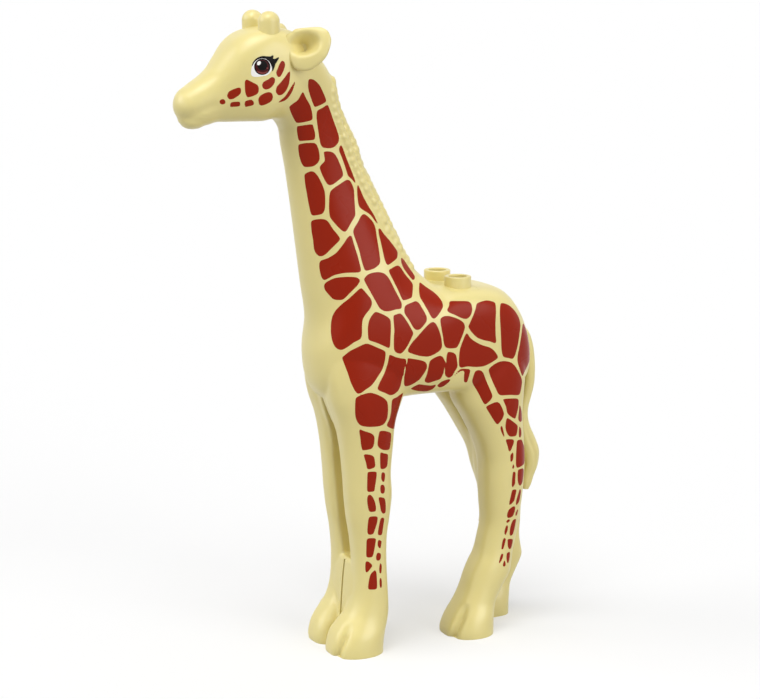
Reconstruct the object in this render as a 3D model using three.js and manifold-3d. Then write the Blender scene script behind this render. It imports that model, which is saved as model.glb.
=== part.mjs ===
// A toy giraffe: two moulded halves joined along the middle, a stud insert held
// between them in the back, plug-in ears and horns, and a tail held in the rump.
// Millimetres. +Z is up, the giraffe looks along -Y and its left side is +X.

import * as THREE from 'three';
import { mergeVertices } from 'three/addons/utils/BufferGeometryUtils.js';
import Module from 'manifold-3d';

const wasm = await Module();
wasm.setup();

// Driving sizes of the whole figure
const legHeight = 46; // floor to belly
const trunkDepth = 20.2; // belly to the flat of the back
const trunkLength = 46; // chest to rump
const trunkWidth = 19;
const neckHeight = 31; // back to throat
const neckBreadth = 22; // front to rear of the neck, at its foot
const neckLean = 3.8; // how far the throat stands in front of the chest
const neckWidth = 10.8; // just below the head
const headLength = 29.5; // nose to nape
const headHeight = 15.9; // jaw to crown
const headWidth = 13.4;

// Legs
const hoofLength = 10.6;
const hoofWidth = 9.5;
const hoofSpread = 4.7; // middle of a hoof to the middle of the figure
const cleftDepth = 0.9; // groove down the front of a hoof
const cleftWidth = 1.3;
const cleftHeight = 6.4;
const cleftTurn = 32; // degrees that the grooves are turned outwards from straight ahead
const webInset = 1.1; // the web between two legs lies this far inside their outline
const slotDepth = 3; // of the slot between the front legs, in front
const chestInset = 0.1; // the chest between the legs lies this far behind their fronts

// Building-brick fittings
const studDiameter = 4.9;
const studHeight = 1.7;
const studBore = 3.2;
const studPitch = 8;
const socketDepth = 3.4; // the socket under each hoof takes a stud

// Stud insert, held between the halves
const insertWidth = 13.8;
const insertLength = 5.6;
const insertThickness = 2.2;
const flangeLip = 1.2;
const flangeThickness = 1.4;

// Joining pins between the halves
const pinDiameter = 2.4;
const pinLength = 3.2;

// Ears and horns
const earLength = 7.9;
const earHeight = 7.4;
const earBack = 2.1; // the ear's back behind its rim
const earLobe = 1.15; // the soft lobe in front of it
const earRim = 0.35;
const hollowDepth = 1.9;
const earTurn = 54; // degrees that the ear's mouth is turned outwards from straight ahead
const earTilt = 15; // degrees that it looks upwards
const hornDiameter = 3.7;
const hornHeight = 5.3; // above its seat in the crown
const hornSpacing = 7.2;
const pegDiameter = 1.9;
const pegLength = 2.4;

// Mane and tail
const maneHeight = 1.35;
const maneRowGap = 1.5; // from the mane's middle row to its side rows
const beadWidth = 2.1;
const maneBeads = 23;
const tailLength = 31.5;
const tailThickness = 2.4;
const tuftThickness = 4;
const tailTab = 3; // length of the tab held in the rump

const fitGap = 0.25; // clearance between a piece and its seat
const overrun = 1; // how far a cut runs past what it cuts

const colours = { body: 0xe4da9b };
const plastic = () => new THREE.MeshStandardMaterial({ color: colours.body, roughness: 0.38, metalness: 0 });

// Faces round each form, and rings between two of its stations
const bodySides = 30;
const bodySteps = 2;
const legSides = 16;
const legSteps = 1;
const roundSides = 16;
const ballSides = 16;
const ballRows = 10;
const maneSides = 6;
const tailSides = 10;
const beadSteps = 2;
const domeSteps = 5;
const earSides = 26;
const earBackSteps = 4;
const earFrontSteps = 7;
const weld = 1e-5; // vertices nearer than this are one

// Solids

function bare(geometry) {
  geometry.deleteAttribute('normal');
  geometry.deleteAttribute('uv');
  return geometry;
}

const welded = (geometry) => mergeVertices(bare(geometry), weld);

function solid(geometry) {
  const merged = welded(geometry);
  return new wasm.Manifold(new wasm.Mesh({
    numProp: 3,
    vertProperties: new Float32Array(merged.attributes.position.array),
    triVerts: new Uint32Array(merged.index.array),
  }));
}

function geometryOf(body) {
  const mesh = body.getMesh();
  const geometry = new THREE.BufferGeometry();
  geometry.setAttribute('position', new THREE.BufferAttribute(new Float32Array(mesh.vertProperties), 3));
  geometry.setIndex(new THREE.BufferAttribute(new Uint32Array(mesh.triVerts), 1));
  return geometry;
}

function box(low, high) {
  const size = new THREE.Vector3().subVectors(high, low);
  const middle = new THREE.Vector3().addVectors(low, high).multiplyScalar(1 / 2);
  return solid(new THREE.BoxGeometry(size.x, size.y, size.z).translate(middle.x, middle.y, middle.z));
}

// An upright cylinder standing on base
function post(diameter, height, base) {
  const round = new THREE.CylinderGeometry(diameter / 2, diameter / 2, height, roundSides);
  return solid(round.rotateX(Math.PI / 2).translate(base.x, base.y, base.z + height / 2));
}

// A cylinder lying along X from x = from to x = to
function crossPin(diameter, from, to, y, z) {
  const round = new THREE.CylinderGeometry(diameter / 2, diameter / 2, to - from, roundSides);
  return solid(round.rotateZ(Math.PI / 2).translate((from + to) / 2, y, z));
}

// A station is one cross-section: its upper and lower point on the side view, its half
// width, the place of its middle in X and its squareness (2 is an ellipse). A leg has a
// half width and a squareness of its own on the side towards the other leg.
const station = (top, bottom, half, middle = 0, square = 2, inner = half, innerSquare = square) => (
  [...top, ...bottom, half, middle, square, inner, innerSquare]
);

// A smooth value between stations
function between(stations, place) {
  const last = stations.length - 1;
  const here = Math.min(Math.floor(place), last - 1);
  const t = place - here;
  const at = (index) => stations[Math.min(Math.max(index, 0), last)];
  return at(here).map((value, item) => {
    const [before, start, end, after] = [here - 1, here, here + 1, here + 2].map((index) => at(index)[item]);
    const slopeIn = (end - before) / 2;
    const slopeOut = (after - start) / 2;
    const bend = 2 * (start - end) + slopeIn + slopeOut;
    return start + slopeIn * t + (-3 * (start - end) - 2 * slopeIn - slopeOut) * t * t + bend * t * t * t;
  });
}

const rounded = (value, square) => Math.sign(value) * Math.abs(value) ** (2 / square);

function ring([topY, topZ, lowY, lowZ, half, middle, square, inner, innerSquare], sides) {
  const points = [];
  for (let side = 0; side < sides; side += 1) {
    const angle = (2 * Math.PI * (side + 1 / 2)) / sides;
    const inwards = Math.cos(angle) * middle < 0;
    const [reach, power] = inwards ? [inner, innerSquare] : [half, square];
    const across = rounded(Math.cos(angle), power);
    const up = (1 + rounded(Math.sin(angle), power)) / 2;
    points.push([middle + reach * across, lowY + (topY - lowY) * up, lowZ + (topZ - lowZ) * up]);
  }
  return points;
}

// The point of a cross-section's upper side at a distance from the middle plane
function upperPoint([topY, topZ, lowY, lowZ, half, , square], distance) {
  const across = Math.abs(distance / half) ** (square / 2);
  const up = (1 + Math.sqrt(1 - across * across) ** (2 / square)) / 2;
  return [lowY + (topY - lowY) * up, lowZ + (topZ - lowZ) * up];
}

// A closed body through the stations
function loft(stations, sides, steps) {
  const rings = [];
  const count = (stations.length - 1) * steps;
  for (let step = 0; step <= count; step += 1) rings.push(ring(between(stations, step / steps), sides));
  return skinned(rings);
}

// A closed body through rings of equally many points
function skinned(rings) {
  const sides = rings[0].length;
  const count = rings.length - 1;
  const middleOf = (points) => [0, 1, 2].map((axis) => points.reduce((sum, p) => sum + p[axis], 0) / sides);
  const vertices = rings.flat();
  const firstPole = vertices.push(middleOf(rings[0])) - 1;
  const lastPole = vertices.push(middleOf(rings[count])) - 1;
  const faces = [];
  for (let side = 0; side < sides; side += 1) {
    const next = (side + 1) % sides;
    faces.push([firstPole, next, side]);
    faces.push([lastPole, count * sides + side, count * sides + next]);
    for (let step = 0; step < count; step += 1) {
      const [a, b] = [step * sides + side, step * sides + next];
      faces.push([a, b, b + sides], [a, b + sides, a + sides]);
    }
  }
  const geometry = new THREE.BufferGeometry();
  geometry.setAttribute('position', new THREE.Float32BufferAttribute(vertices.flat(), 3));
  geometry.setIndex(faces.flat());
  return outward(geometry);
}

// Turns the faces round if they point inwards
function outward(geometry) {
  const position = geometry.attributes.position;
  const index = geometry.index.array;
  const [a, b, c] = [new THREE.Vector3(), new THREE.Vector3(), new THREE.Vector3()];
  let volume = 0;
  for (let face = 0; face < index.length; face += 3) {
    a.fromBufferAttribute(position, index[face]);
    b.fromBufferAttribute(position, index[face + 1]);
    c.fromBufferAttribute(position, index[face + 2]);
    volume += a.dot(b.cross(c));
  }
  if (volume < 0) {
    for (let face = 0; face < index.length; face += 3) {
      [index[face + 1], index[face + 2]] = [index[face + 2], index[face + 1]];
    }
  }
  return geometry;
}

// Places on the side view, from shares of the sizes they follow

const backHeight = legHeight + trunkDepth;
const chestShare = -0.61; // the stud row is at Y = 0
const chest = chestShare * trunkLength;

const onTrunk = (along, up) => [along * trunkLength, legHeight + up * trunkDepth];
const onNeck = (back, up) => [chest - up * neckLean + back * neckBreadth, backHeight + up * neckHeight];
const throat = onNeck(0, 1);
const onHead = (forward, up) => [throat[0] - forward * headLength, throat[1] + up * headHeight];

// The trunk from the rump forward, the neck rising out of it and the head to the nose
const trunkShares = [
  // upper point, lower point, half width
  [0.342, 0.33, 0.342, 0.13, 0.11],
  [0.322, 0.52, 0.318, 0.03, 0.27],
  [0.279, 0.755, 0.267, -0.02, 0.385],
  [0.196, 0.935, 0.187, -0.02, 0.465],
  [0.08, 0.99, 0.08, 0, 0.495],
  [-0.043, 1, -0.043, 0, 0.5],
];
const shoulderShares = [
  // upper point on the neck, lower point on the trunk, half width of the trunk
  [1.07, 0.015, -0.196, -0.015, 0.5],
  [0.965, 0.085, -0.337, -0.03, 0.5],
  [0.87, 0.16, -0.49, -0.01, 0.49],
  [0.81, 0.23, -0.585, 0.14, 0.47],
  [0.763, 0.305, -0.612, 0.42, 0.44],
];
const neckShares = [
  // upper point, lower point, half width of the neck
  [0.706, 0.385, -0.02, -0.17, 0.71],
  [0.646, 0.48, -0.027, 0.05, 0.64],
  [0.579, 0.6, -0.032, 0.28, 0.575],
  [0.516, 0.73, -0.037, 0.52, 0.52],
  [0.468, 0.865, -0.042, 0.72, 0.495],
  [0.425, 0.98, -0.038, 0.85, 0.495],
];
const headShares = [
  // upper point, lower point, half width of the head, squareness
  [-0.29, 0.2, 0, -0.13, 0.41, 2.3],
  [-0.245, 0.44, 0.03, -0.045, 0.44, 2.4],
  [-0.175, 0.7, 0.075, 0, 0.475, 2.45],
  [-0.04, 0.935, 0.13, 0.01, 0.5, 2.7],
  [0.13, 1, 0.195, 0, 0.5, 3.8],
  [0.265, 0.965, 0.265, 0, 0.48, 3.3],
  [0.355, 0.87, 0.335, 0, 0.435, 2.9],
  [0.42, 0.725, 0.395, 0, 0.375, 2.6],
  [0.475, 0.59, 0.455, 0, 0.33, 2.45],
  [0.535, 0.495, 0.52, -0.03, 0.3, 2.4],
  [0.6, 0.42, 0.59, -0.045, 0.27, 2.3],
  [0.655, 0.34, 0.645, 0.01, 0.215, 2.2],
  [0.685, 0.24, 0.68, 0.11, 0.12, 2.1],
];
// The round nose and the lip under it: their middles on the head, and their half sizes
// as shares of its height
const noseMiddleShares = [0.585, 0.19];
const noseHalfShares = [0.226, 0.208, 0.214];
const lipMiddleShares = [0.563, 0.035];
const lipHalfShares = [0.185, 0.157, 0.1];

// Squareness of the cross-sections
const backSquareness = 3.2;
const rumpSquareness = 2.3;
const shoulderSquareness = 2.4;
const neckSquareness = 2.15;
const legSquareness = 2.2;
const legInnerSquareness = 3.6;
const webSquareness = 5;
const rumpRows = 3;

// Rows of the legs that the webs between them run over, first and last
const frontWebRows = [2, 6];
const slotRows = [5, 12];
const chestRows = [12, 15];
const hindWebRows = [8, 12];

// The mane runs between these rows of the body
const maneFirstRow = 8;
const maneLastRow = 18;
const beadLowShare = 0.55; // of a bead's size, between two beads

// Shares of the horn's radius, and the horns' seat on the head
const hornDomeShare = 0.95;
const hornFootShare = 0.94;
const hornSeatShares = [0.155, 0.84];

// The ear's root on the head, and half the head's width there
const earRootShares = [0.08, 0.776];
const earRootWidthShare = 0.418;
const earLeanShare = -0.1; // its top leans inwards by this share of its height
const earOutlineShares = [
  // of half the ear's length and height, seen into it
  [-0.7, 0.79], [-0.51, 0.93], [0, 1], [0.56, 1.02], [0.88, 0.84], [1, 0.47], [0.93, 0.09],
  [0.7, -0.33], [0.42, -0.65], [0.05, -0.93], [-0.28, -1], [-0.6, -0.93], [-0.79, -0.65],
  [-0.95, 0], [-1, 0.56],
];
// The hollow's middle and half sizes in the same shares, and the slant of its length
const hollowMiddleShares = [0, 0.38];
const hollowHalfShares = [0.9, 0.5];
const hollowSlant = 22; // degrees
const hollowRiseShare = 0.6; // it grows shallower by this share towards its upper end
// Where the ear's peg starts, as shares of its length, height and back
const earPegShares = [0.18, -0.18, -0.43];

// The tail's root on the trunk, its tab as a share of the tail's thickness, and the tab's
// place from the root as shares of the tail's length
const tailRootShares = [0.335, 0.49];
const tabShare = 0.42;
const tabBackShare = 0.02;
const tabRiseShare = 0.012;

function bodyStations() {
  return [
    ...trunkShares.map(([y1, z1, y2, z2, w], row) => {
      const square = row < rumpRows ? rumpSquareness : backSquareness;
      return station(onTrunk(y1, z1), onTrunk(y2, z2), w * trunkWidth, 0, square);
    }),
    ...shoulderShares.map(([y1, z1, y2, z2, w]) => (
      station(onNeck(y1, z1), onTrunk(y2, z2), w * trunkWidth, 0, shoulderSquareness)
    )),
    ...neckShares.map(([y1, z1, y2, z2, w]) => (
      station(onNeck(y1, z1), onNeck(y2, z2), w * neckWidth, 0, neckSquareness)
    )),
    ...headShares.map(([y1, z1, y2, z2, w, square]) => (
      station(onHead(y1, z1), onHead(y2, z2), w * headWidth, 0, square)
    )),
  ];
}

// Legs, from the hoof up into the trunk
const frontHoofShare = -0.463;
const frontHoof = frontHoofShare * trunkLength; // middle of a front hoof along Y
const hindHoof = frontHoof + 3 * studPitch; // the sockets under the hooves keep to the stud grid
const stride = studPitch; // the right hind hoof stands one stud behind the left one
const frontLegShares = [
  // height, front and rear from the middle of the hoof, outer and inner half width
  [0, -0.49, 0.52, 0.5, 0.49],
  [0.026, -0.495, 0.52, 0.5, 0.49],
  [0.08, -0.41, 0.545, 0.475, 0.47],
  [0.123, -0.26, 0.59, 0.41, 0.4],
  [0.167, -0.105, 0.615, 0.37, 0.36],
  [0.242, -0.01, 0.605, 0.345, 0.335],
  [0.352, 0.01, 0.58, 0.33, 0.325],
  [0.462, -0.03, 0.585, 0.33, 0.325],
  [0.55, -0.095, 0.64, 0.355, 0.33],
  [0.637, -0.135, 0.68, 0.38, 0.335],
  [0.725, -0.16, 0.66, 0.39, 0.36],
  [0.835, -0.21, 0.7, 0.41, 0.42],
  [0.934, -0.29, 0.75, 0.44, 0.49],
  [1.033, -0.43, 0.905, 0.47, 0.5],
  [1.143, -0.49, 1.1, 0.46, 0.5],
  [1.275, -0.42, 1.08, 0.38, 0.38],
  [1.385, -0.15, 0.77, 0.2, 0.2],
];
const hindLegShares = [
  // height, front and rear from the middle of the hoof, outer and inner half width, share
  // of the stride
  [0, -0.51, 0.45, 0.5, 0.49, 1],
  [0.026, -0.515, 0.45, 0.5, 0.49, 1],
  [0.08, -0.41, 0.455, 0.465, 0.46, 1.01],
  [0.132, -0.28, 0.485, 0.39, 0.39, 1.01],
  [0.187, -0.165, 0.56, 0.37, 0.37, 1],
  [0.242, -0.07, 0.69, 0.37, 0.37, 0.95],
  [0.286, 0.025, 0.8, 0.36, 0.36, 0.87],
  [0.334, 0.135, 0.835, 0.335, 0.335, 0.8],
  [0.396, 0.205, 0.88, 0.325, 0.325, 0.74],
  [0.462, 0.26, 0.93, 0.33, 0.33, 0.66],
  [0.55, 0.24, 0.985, 0.36, 0.36, 0.56],
  [0.637, 0.22, 1.015, 0.38, 0.38, 0.41],
  [0.725, 0.205, 1.025, 0.39, 0.365, 0.28],
  [0.813, 0.08, 0.995, 0.41, 0.355, 0.16],
  [0.9, -0.135, 0.965, 0.44, 0.375, 0.11],
  [0.989, -0.36, 0.99, 0.47, 0.46, 0.07],
  [1.1, -0.36, 1.01, 0.47, 0.47, 0.03],
  [1.23, -0.22, 0.9, 0.4, 0.4, 0],
  [1.34, 0.06, 0.62, 0.2, 0.2, 0],
];

function leg(shares, hoofMiddle, side, shift) {
  const stations = shares.map(([up, front, rear, width, inner, swing = 0]) => {
    const middle = hoofMiddle + swing * shift;
    const height = up * legHeight;
    return station(
      [middle + rear * hoofLength, height],
      [middle + front * hoofLength, height],
      width * hoofWidth,
      side * hoofSpread,
      legSquareness,
      inner * hoofWidth,
      legInnerSquareness,
    );
  });
  const limb = solid(loft(stations, legSides, legSteps));
  const floorCut = box(
    new THREE.Vector3(-trunkWidth, chest - trunkLength, -legHeight),
    new THREE.Vector3(trunkWidth, trunkLength * 2, 0),
  );
  return limb.subtract(floorCut);
}

// The web that joins two legs is a narrower copy of their outline over some of its rows
function web(shares, [firstRow, lastRow], hoofMiddle, shift, frontInset = webInset) {
  const stations = shares.slice(firstRow, lastRow + 1).map(([up, front, rear, , , swing = 0]) => {
    const middle = hoofMiddle + (swing * shift) / 2;
    const height = up * legHeight;
    return station(
      [middle + rear * hoofLength - webInset, height],
      [middle + front * hoofLength + frontInset, height],
      hoofSpread,
      0,
      webSquareness,
    );
  });
  return solid(loft(stations, legSides, legSteps));
}

// A rounded strand along a line of rows: place, half thickness and half width
function strand(rows, sides, steps, middle = 0) {
  const stations = rows.map(([y, z, thick, wide], row) => {
    const [beforeY, beforeZ] = rows[Math.max(row - 1, 0)];
    const [afterY, afterZ] = rows[Math.min(row + 1, rows.length - 1)];
    const run = Math.hypot(afterY - beforeY, afterZ - beforeZ);
    const [outY, outZ] = [-(afterZ - beforeZ) / run, (afterY - beforeY) / run];
    return station([y + outY * thick, z + outZ * thick], [y - outY * thick, z - outZ * thick], wide, middle);
  });
  return solid(loft(stations, sides, steps));
}

const moved = (geometry, matrix) => solid(outward(geometry.applyMatrix4(matrix)));

// An ellipsoid with the given half sizes
function ellipsoid(halfX, halfY, halfZ, matrix = new THREE.Matrix4()) {
  const ball = mergeVertices(bare(new THREE.SphereGeometry(1, ballSides, ballRows)), weld);
  return moved(ball.scale(halfX, halfY, halfZ), matrix);
}

// The body

// A rounded form on the head, from its middle there and its shares of the head's height
function muzzleForm(middleShares, halfShares) {
  const [halfX, halfY, halfZ] = halfShares.map((share) => share * headHeight);
  return ellipsoid(halfX, halfY, halfZ, new THREE.Matrix4().makeTranslation(0, ...onHead(...middleShares)));
}

const bodyRows = bodyStations();
const wholeBody = solid(loft(bodyRows, bodySides, bodySteps))
  .add(muzzleForm(noseMiddleShares, noseHalfShares))
  .add(muzzleForm(lipMiddleShares, lipHalfShares));

// One row of the mane's beads, in steps along the nape
function beadRow(distance, firstStep) {
  const nape = bodyRows.slice(maneFirstRow, maneLastRow + 1);
  const rows = [];
  const count = maneBeads * beadSteps;
  for (let step = 0; step <= count; step += 1) {
    const [y, z] = upperPoint(between(nape, (step / count) * (nape.length - 1)), distance);
    const bulge = Math.abs(Math.sin((Math.PI * (step + firstStep)) / beadSteps));
    const swell = beadLowShare + (1 - beadLowShare) * bulge;
    rows.push([y, z, maneHeight * swell, (beadWidth / 2) * swell]);
  }
  return strand(rows, maneSides, 1, distance);
}

// The mane is five staggered rows of beads, from the withers to behind the ears
function mane() {
  return beadRow(0, 0)
    .add(beadRow(maneRowGap, 1))
    .add(beadRow(-maneRowGap, 1))
    .add(beadRow(2 * maneRowGap, 0))
    .add(beadRow(-2 * maneRowGap, 0));
}

// The groove that parts the toes of a hoof
function cleft(hoofMiddle, side) {
  const place = new THREE.Matrix4().makeTranslation(side * hoofSpread, hoofMiddle, 0)
    .multiply(new THREE.Matrix4().makeRotationZ(side * THREE.MathUtils.degToRad(cleftTurn)))
    .multiply(new THREE.Matrix4().makeTranslation(0, -hoofLength / 2, 0));
  return ellipsoid(cleftWidth / 2, cleftDepth, cleftHeight, place);
}

// Half space on one side of the middle plane, as a large box
function halfSpace(side) {
  const reach = legHeight + trunkDepth + neckHeight + headHeight + hornHeight;
  return box(
    new THREE.Vector3(side > 0 ? 0 : -reach, -reach, -reach),
    new THREE.Vector3(side > 0 ? reach : 0, reach, reach * 2),
  );
}

// Stud insert: a plate flush with the back, two hollow studs on it and a flange under it

const insertTop = backHeight - insertThickness;
const plateCorner = (grow, z) => new THREE.Vector3(insertWidth / 2 + grow, insertLength / 2 + grow, z);
const flangeCorner = (grow, z) => (
  new THREE.Vector3(insertWidth / 2 + grow, insertLength / 2 + flangeLip + grow, z)
);
const opposite = (corner, z) => new THREE.Vector3(-corner.x, -corner.y, z);

function insertBlock(grow, top) {
  const plate = plateCorner(grow, top);
  const flange = flangeCorner(grow, insertTop + grow);
  const floor = insertTop - flangeThickness - grow;
  return box(opposite(plate, floor), plate).add(box(opposite(flange, floor), flange));
}

function studInsert() {
  let insert = insertBlock(0, backHeight + studHeight).intersect(wholeBody);
  for (const side of [1, -1]) {
    const foot = new THREE.Vector3((side * studPitch) / 2, 0, insertTop);
    const bore = foot.clone().setZ(backHeight - overrun);
    insert = insert
      .add(post(studDiameter, insertThickness + studHeight, foot))
      .subtract(post(studBore, studHeight + 2 * overrun, bore));
  }
  return insert;
}

// Horns, each on a peg in the crown

const hornSeat = onHead(...hornSeatShares);
const hornPlace = (side) => new THREE.Vector3((side * hornSpacing) / 2, hornSeat[0], hornSeat[1]);

function horn() {
  const radius = hornDiameter / 2;
  const dome = hornHeight - radius * hornDomeShare;
  const outline = [
    new THREE.Vector2(0, -pegLength),
    new THREE.Vector2(pegDiameter / 2, -pegLength),
    new THREE.Vector2(pegDiameter / 2, 0),
    new THREE.Vector2(radius * hornFootShare, 0),
    new THREE.Vector2(radius, dome / 2),
  ];
  for (let step = 0; step <= domeSteps; step += 1) {
    const angle = (Math.PI / 2) * (step / domeSteps);
    outline.push(new THREE.Vector2(
      step === domeSteps ? 0 : radius * Math.cos(angle),
      dome + radius * hornDomeShare * Math.sin(angle),
    ));
  }
  return solid(outward(welded(new THREE.LatheGeometry(outline, roundSides).rotateX(Math.PI / 2))));
}

function hornSocket(side) {
  const seat = hornPlace(side);
  const lowered = seat.clone().setZ(seat.z - fitGap);
  const pegFloor = seat.clone().setZ(seat.z - pegLength - fitGap);
  return post(hornDiameter + 2 * fitGap, hornHeight, lowered)
    .add(post(pegDiameter + 2 * fitGap, pegLength + overrun, pegFloor));
}

// Ears: a soft leaf with a slanting hollow, made facing +Z with its root at X = 0 and its
// tip along +X, and a peg in the head

const earRoot = onHead(...earRootShares);
const earRootX = earRootWidthShare * headWidth;

function earMatrix(side) {
  const place = new THREE.Matrix4().makeTranslation(side * earRootX, earRoot[0], earRoot[1]);
  const turn = THREE.MathUtils.degToRad(earTurn);
  const tilt = THREE.MathUtils.degToRad(earTilt);
  const tip = new THREE.Vector3(side * Math.cos(turn), Math.sin(turn), 0);
  const ahead = new THREE.Vector3(side * Math.sin(turn), -Math.cos(turn), 0);
  const up = new THREE.Vector3(0, 0, 1);
  const mouth = ahead.clone().multiplyScalar(Math.cos(tilt)).addScaledVector(up, Math.sin(tilt));
  const rise = up.clone().multiplyScalar(Math.cos(tilt)).addScaledVector(ahead, -Math.sin(tilt));
  rise.addScaledVector(tip, earLeanShare);
  return place.multiply(new THREE.Matrix4().makeBasis(tip, rise, mouth));
}

// How deep the ear's hollow is at a place of its outline's shares
function hollowAt(across, up) {
  const slant = THREE.MathUtils.degToRad(hollowSlant);
  const [x, y] = [across - hollowMiddleShares[0], up - hollowMiddleShares[1]];
  const along = (x * Math.cos(slant) + y * Math.sin(slant)) / hollowHalfShares[0];
  const beside = (y * Math.cos(slant) - x * Math.sin(slant)) / hollowHalfShares[1];
  const inside = THREE.MathUtils.smoothstep(1 - along * along - beside * beside, 0, 1);
  return hollowDepth * (1 - hollowRiseShare * along) * inside;
}

// The ear, grown by a clearance and without its hollow where it is the shape of its seat
function earForm(side, grow) {
  const outline = new THREE.CatmullRomCurve3(
    earOutlineShares.map(([across, up]) => new THREE.Vector3(across, up, 0)),
    true,
  ).getPoints(earSides).slice(0, earSides);
  const [halfLength, halfHeight] = [earLength / 2, earHeight / 2];
  const ringAt = (share, height) => outline.map(({ x, y }) => [
    halfLength + x * share * (halfLength + grow),
    y * share * (halfHeight + grow),
    height(x * share, y * share),
  ]);
  const rings = [];
  for (let step = 0; step <= earBackSteps; step += 1) {
    const angle = (Math.PI / 2) * ((step + 1 / 2) / (earBackSteps + 1 / 2));
    rings.push(ringAt(Math.sin(angle), () => -(earBack + grow) * Math.cos(angle)));
  }
  for (let step = 0; step < earFrontSteps; step += 1) {
    const share = 1 - step / earFrontSteps;
    const lobe = earRim + (earLobe - earRim) * (1 - share * share) + grow;
    rings.push(ringAt(share, (across, up) => lobe - (grow > 0 ? 0 : hollowAt(across, up))));
  }
  return moved(skinned(rings), earMatrix(side));
}

// The peg lies square to the middle plane
function earPeg(side, grow) {
  const [along, up, back] = earPegShares;
  const start = new THREE.Vector3(along * earLength, up * earHeight, back * earBack);
  start.applyMatrix4(earMatrix(side));
  const ends = [start.x, start.x - side * (pegLength + grow)].sort((a, b) => a - b);
  return crossPin(pegDiameter + 2 * grow, ends[0], ends[1], start.y, start.z);
}

function ear(side) {
  return earForm(side, 0).add(earPeg(side, 0));
}

// Tail: a tab in the rump, a strand and a tuft

const tailRoot = onTrunk(...tailRootShares);
const strandShares = [
  // behind the root, below it, half thickness and half width of the strand
  [-0.01, -0.012, 0.44, 0.44],
  [0.026, 0.03, 0.48, 0.5],
  [0.05, 0.095, 0.5, 0.5],
  [0.063, 0.17, 0.5, 0.5],
  [0.069, 0.25, 0.48, 0.5],
  [0.066, 0.33, 0.46, 0.48],
  [0.05, 0.4, 0.44, 0.46],
  [0.031, 0.465, 0.45, 0.46],
];
const tuftShares = [
  // behind the root, below it, half thickness and half width of the tuft
  [0.022, 0.53, 0.31, 0.31],
  [0.03, 0.6, 0.37, 0.37],
  [0.055, 0.68, 0.46, 0.43],
  [0.076, 0.76, 0.5, 0.46],
  [0.077, 0.84, 0.46, 0.42],
  [0.063, 0.91, 0.36, 0.34],
  [0.055, 0.965, 0.25, 0.25],
  [0.052, 1, 0.12, 0.12],
];

function tail(grow) {
  const placed = (shares, thickness) => shares.map(([back, down, thick, wide]) => [
    tailRoot[0] + back * tailLength,
    tailRoot[1] - down * tailLength,
    thick * thickness + grow,
    wide * thickness + grow,
  ]);
  const tabHalf = tabShare * tailThickness + grow;
  const tab = [tailTab + grow, tailTab / 2].map((ahead) => [
    tailRoot[0] - ahead - tabBackShare * tailLength,
    tailRoot[1] + tabRiseShare * tailLength,
    tabHalf,
    tabHalf,
  ]);
  const rows = [...tab, ...placed(strandShares, tailThickness), ...placed(tuftShares, tuftThickness)];
  return strand(rows, tailSides, bodySteps);
}

// Places of the joining pins on the middle plane
const headPinShares = [0.28, 0.35];
const neckPinShares = [0.28, 0.55];
const trunkPinShares = [[-0.43, 0.5], [0.15, 0.45]];
const pinPlaces = [
  onHead(...headPinShares),
  onNeck(...neckPinShares),
  ...trunkPinShares.map((shares) => onTrunk(...shares)),
];

function half(side) {
  const shift = side < 0 ? stride : 0;
  let shell = wholeBody
    .add(mane())
    .add(leg(frontLegShares, frontHoof, side, 0))
    .add(leg(hindLegShares, hindHoof, side, shift))
    .add(web(frontLegShares, frontWebRows, frontHoof, 0))
    .add(web(frontLegShares, slotRows, frontHoof, 0, slotDepth))
    .add(web(frontLegShares, chestRows, frontHoof, 0, chestInset))
    .add(web(hindLegShares, hindWebRows, hindHoof, stride))
    .intersect(halfSpace(side))
    .subtract(cleft(frontHoof, side))
    .subtract(cleft(hindHoof + shift, side))
    .subtract(insertBlock(fitGap, backHeight + studHeight))
    .subtract(hornSocket(side))
    .subtract(earForm(side, fitGap))
    .subtract(earPeg(side, fitGap))
    .subtract(tail(fitGap));
  for (const place of [frontHoof, hindHoof + shift]) {
    const mouth = new THREE.Vector3((side * studPitch) / 2, place, -overrun);
    shell = shell.subtract(post(studDiameter, socketDepth + overrun, mouth));
  }
  for (const [y, z] of pinPlaces) {
    shell = side > 0
      ? shell.add(crossPin(pinDiameter, -pinLength, pinLength, y, z))
      : shell.subtract(crossPin(pinDiameter + 2 * fitGap, -pinLength - fitGap, overrun, y, z));
  }
  return shell;
}

// Assembly

const assembly = new THREE.Group();

function add(name, body) {
  const mesh = new THREE.Mesh(geometryOf(body), plastic());
  mesh.name = name;
  assembly.add(mesh);
  return mesh;
}

add('left_shell', half(1));
add('right_shell', half(-1));
add('stud_insert', studInsert());
add('left_ear', ear(1));
add('right_ear', ear(-1));
for (const [name, side] of [['left_horn', 1], ['right_horn', -1]]) {
  add(name, horn()).position.copy(hornPlace(side));
}
add('tail', tail(0));

// The origin lies under the middle of the figure, on the floor
const bounds = new THREE.Box3().setFromObject(assembly);
assembly.position.set(0, -(bounds.min.y + bounds.max.y) / 2, -bounds.min.z);

const figure = new THREE.Group();
figure.add(assembly);

export default figure;
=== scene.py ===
import math

import bpy
import numpy as np
from mathutils import Matrix, Vector
from mathutils.bvhtree import BVHTree
from mathutils.kdtree import KDTree


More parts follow.
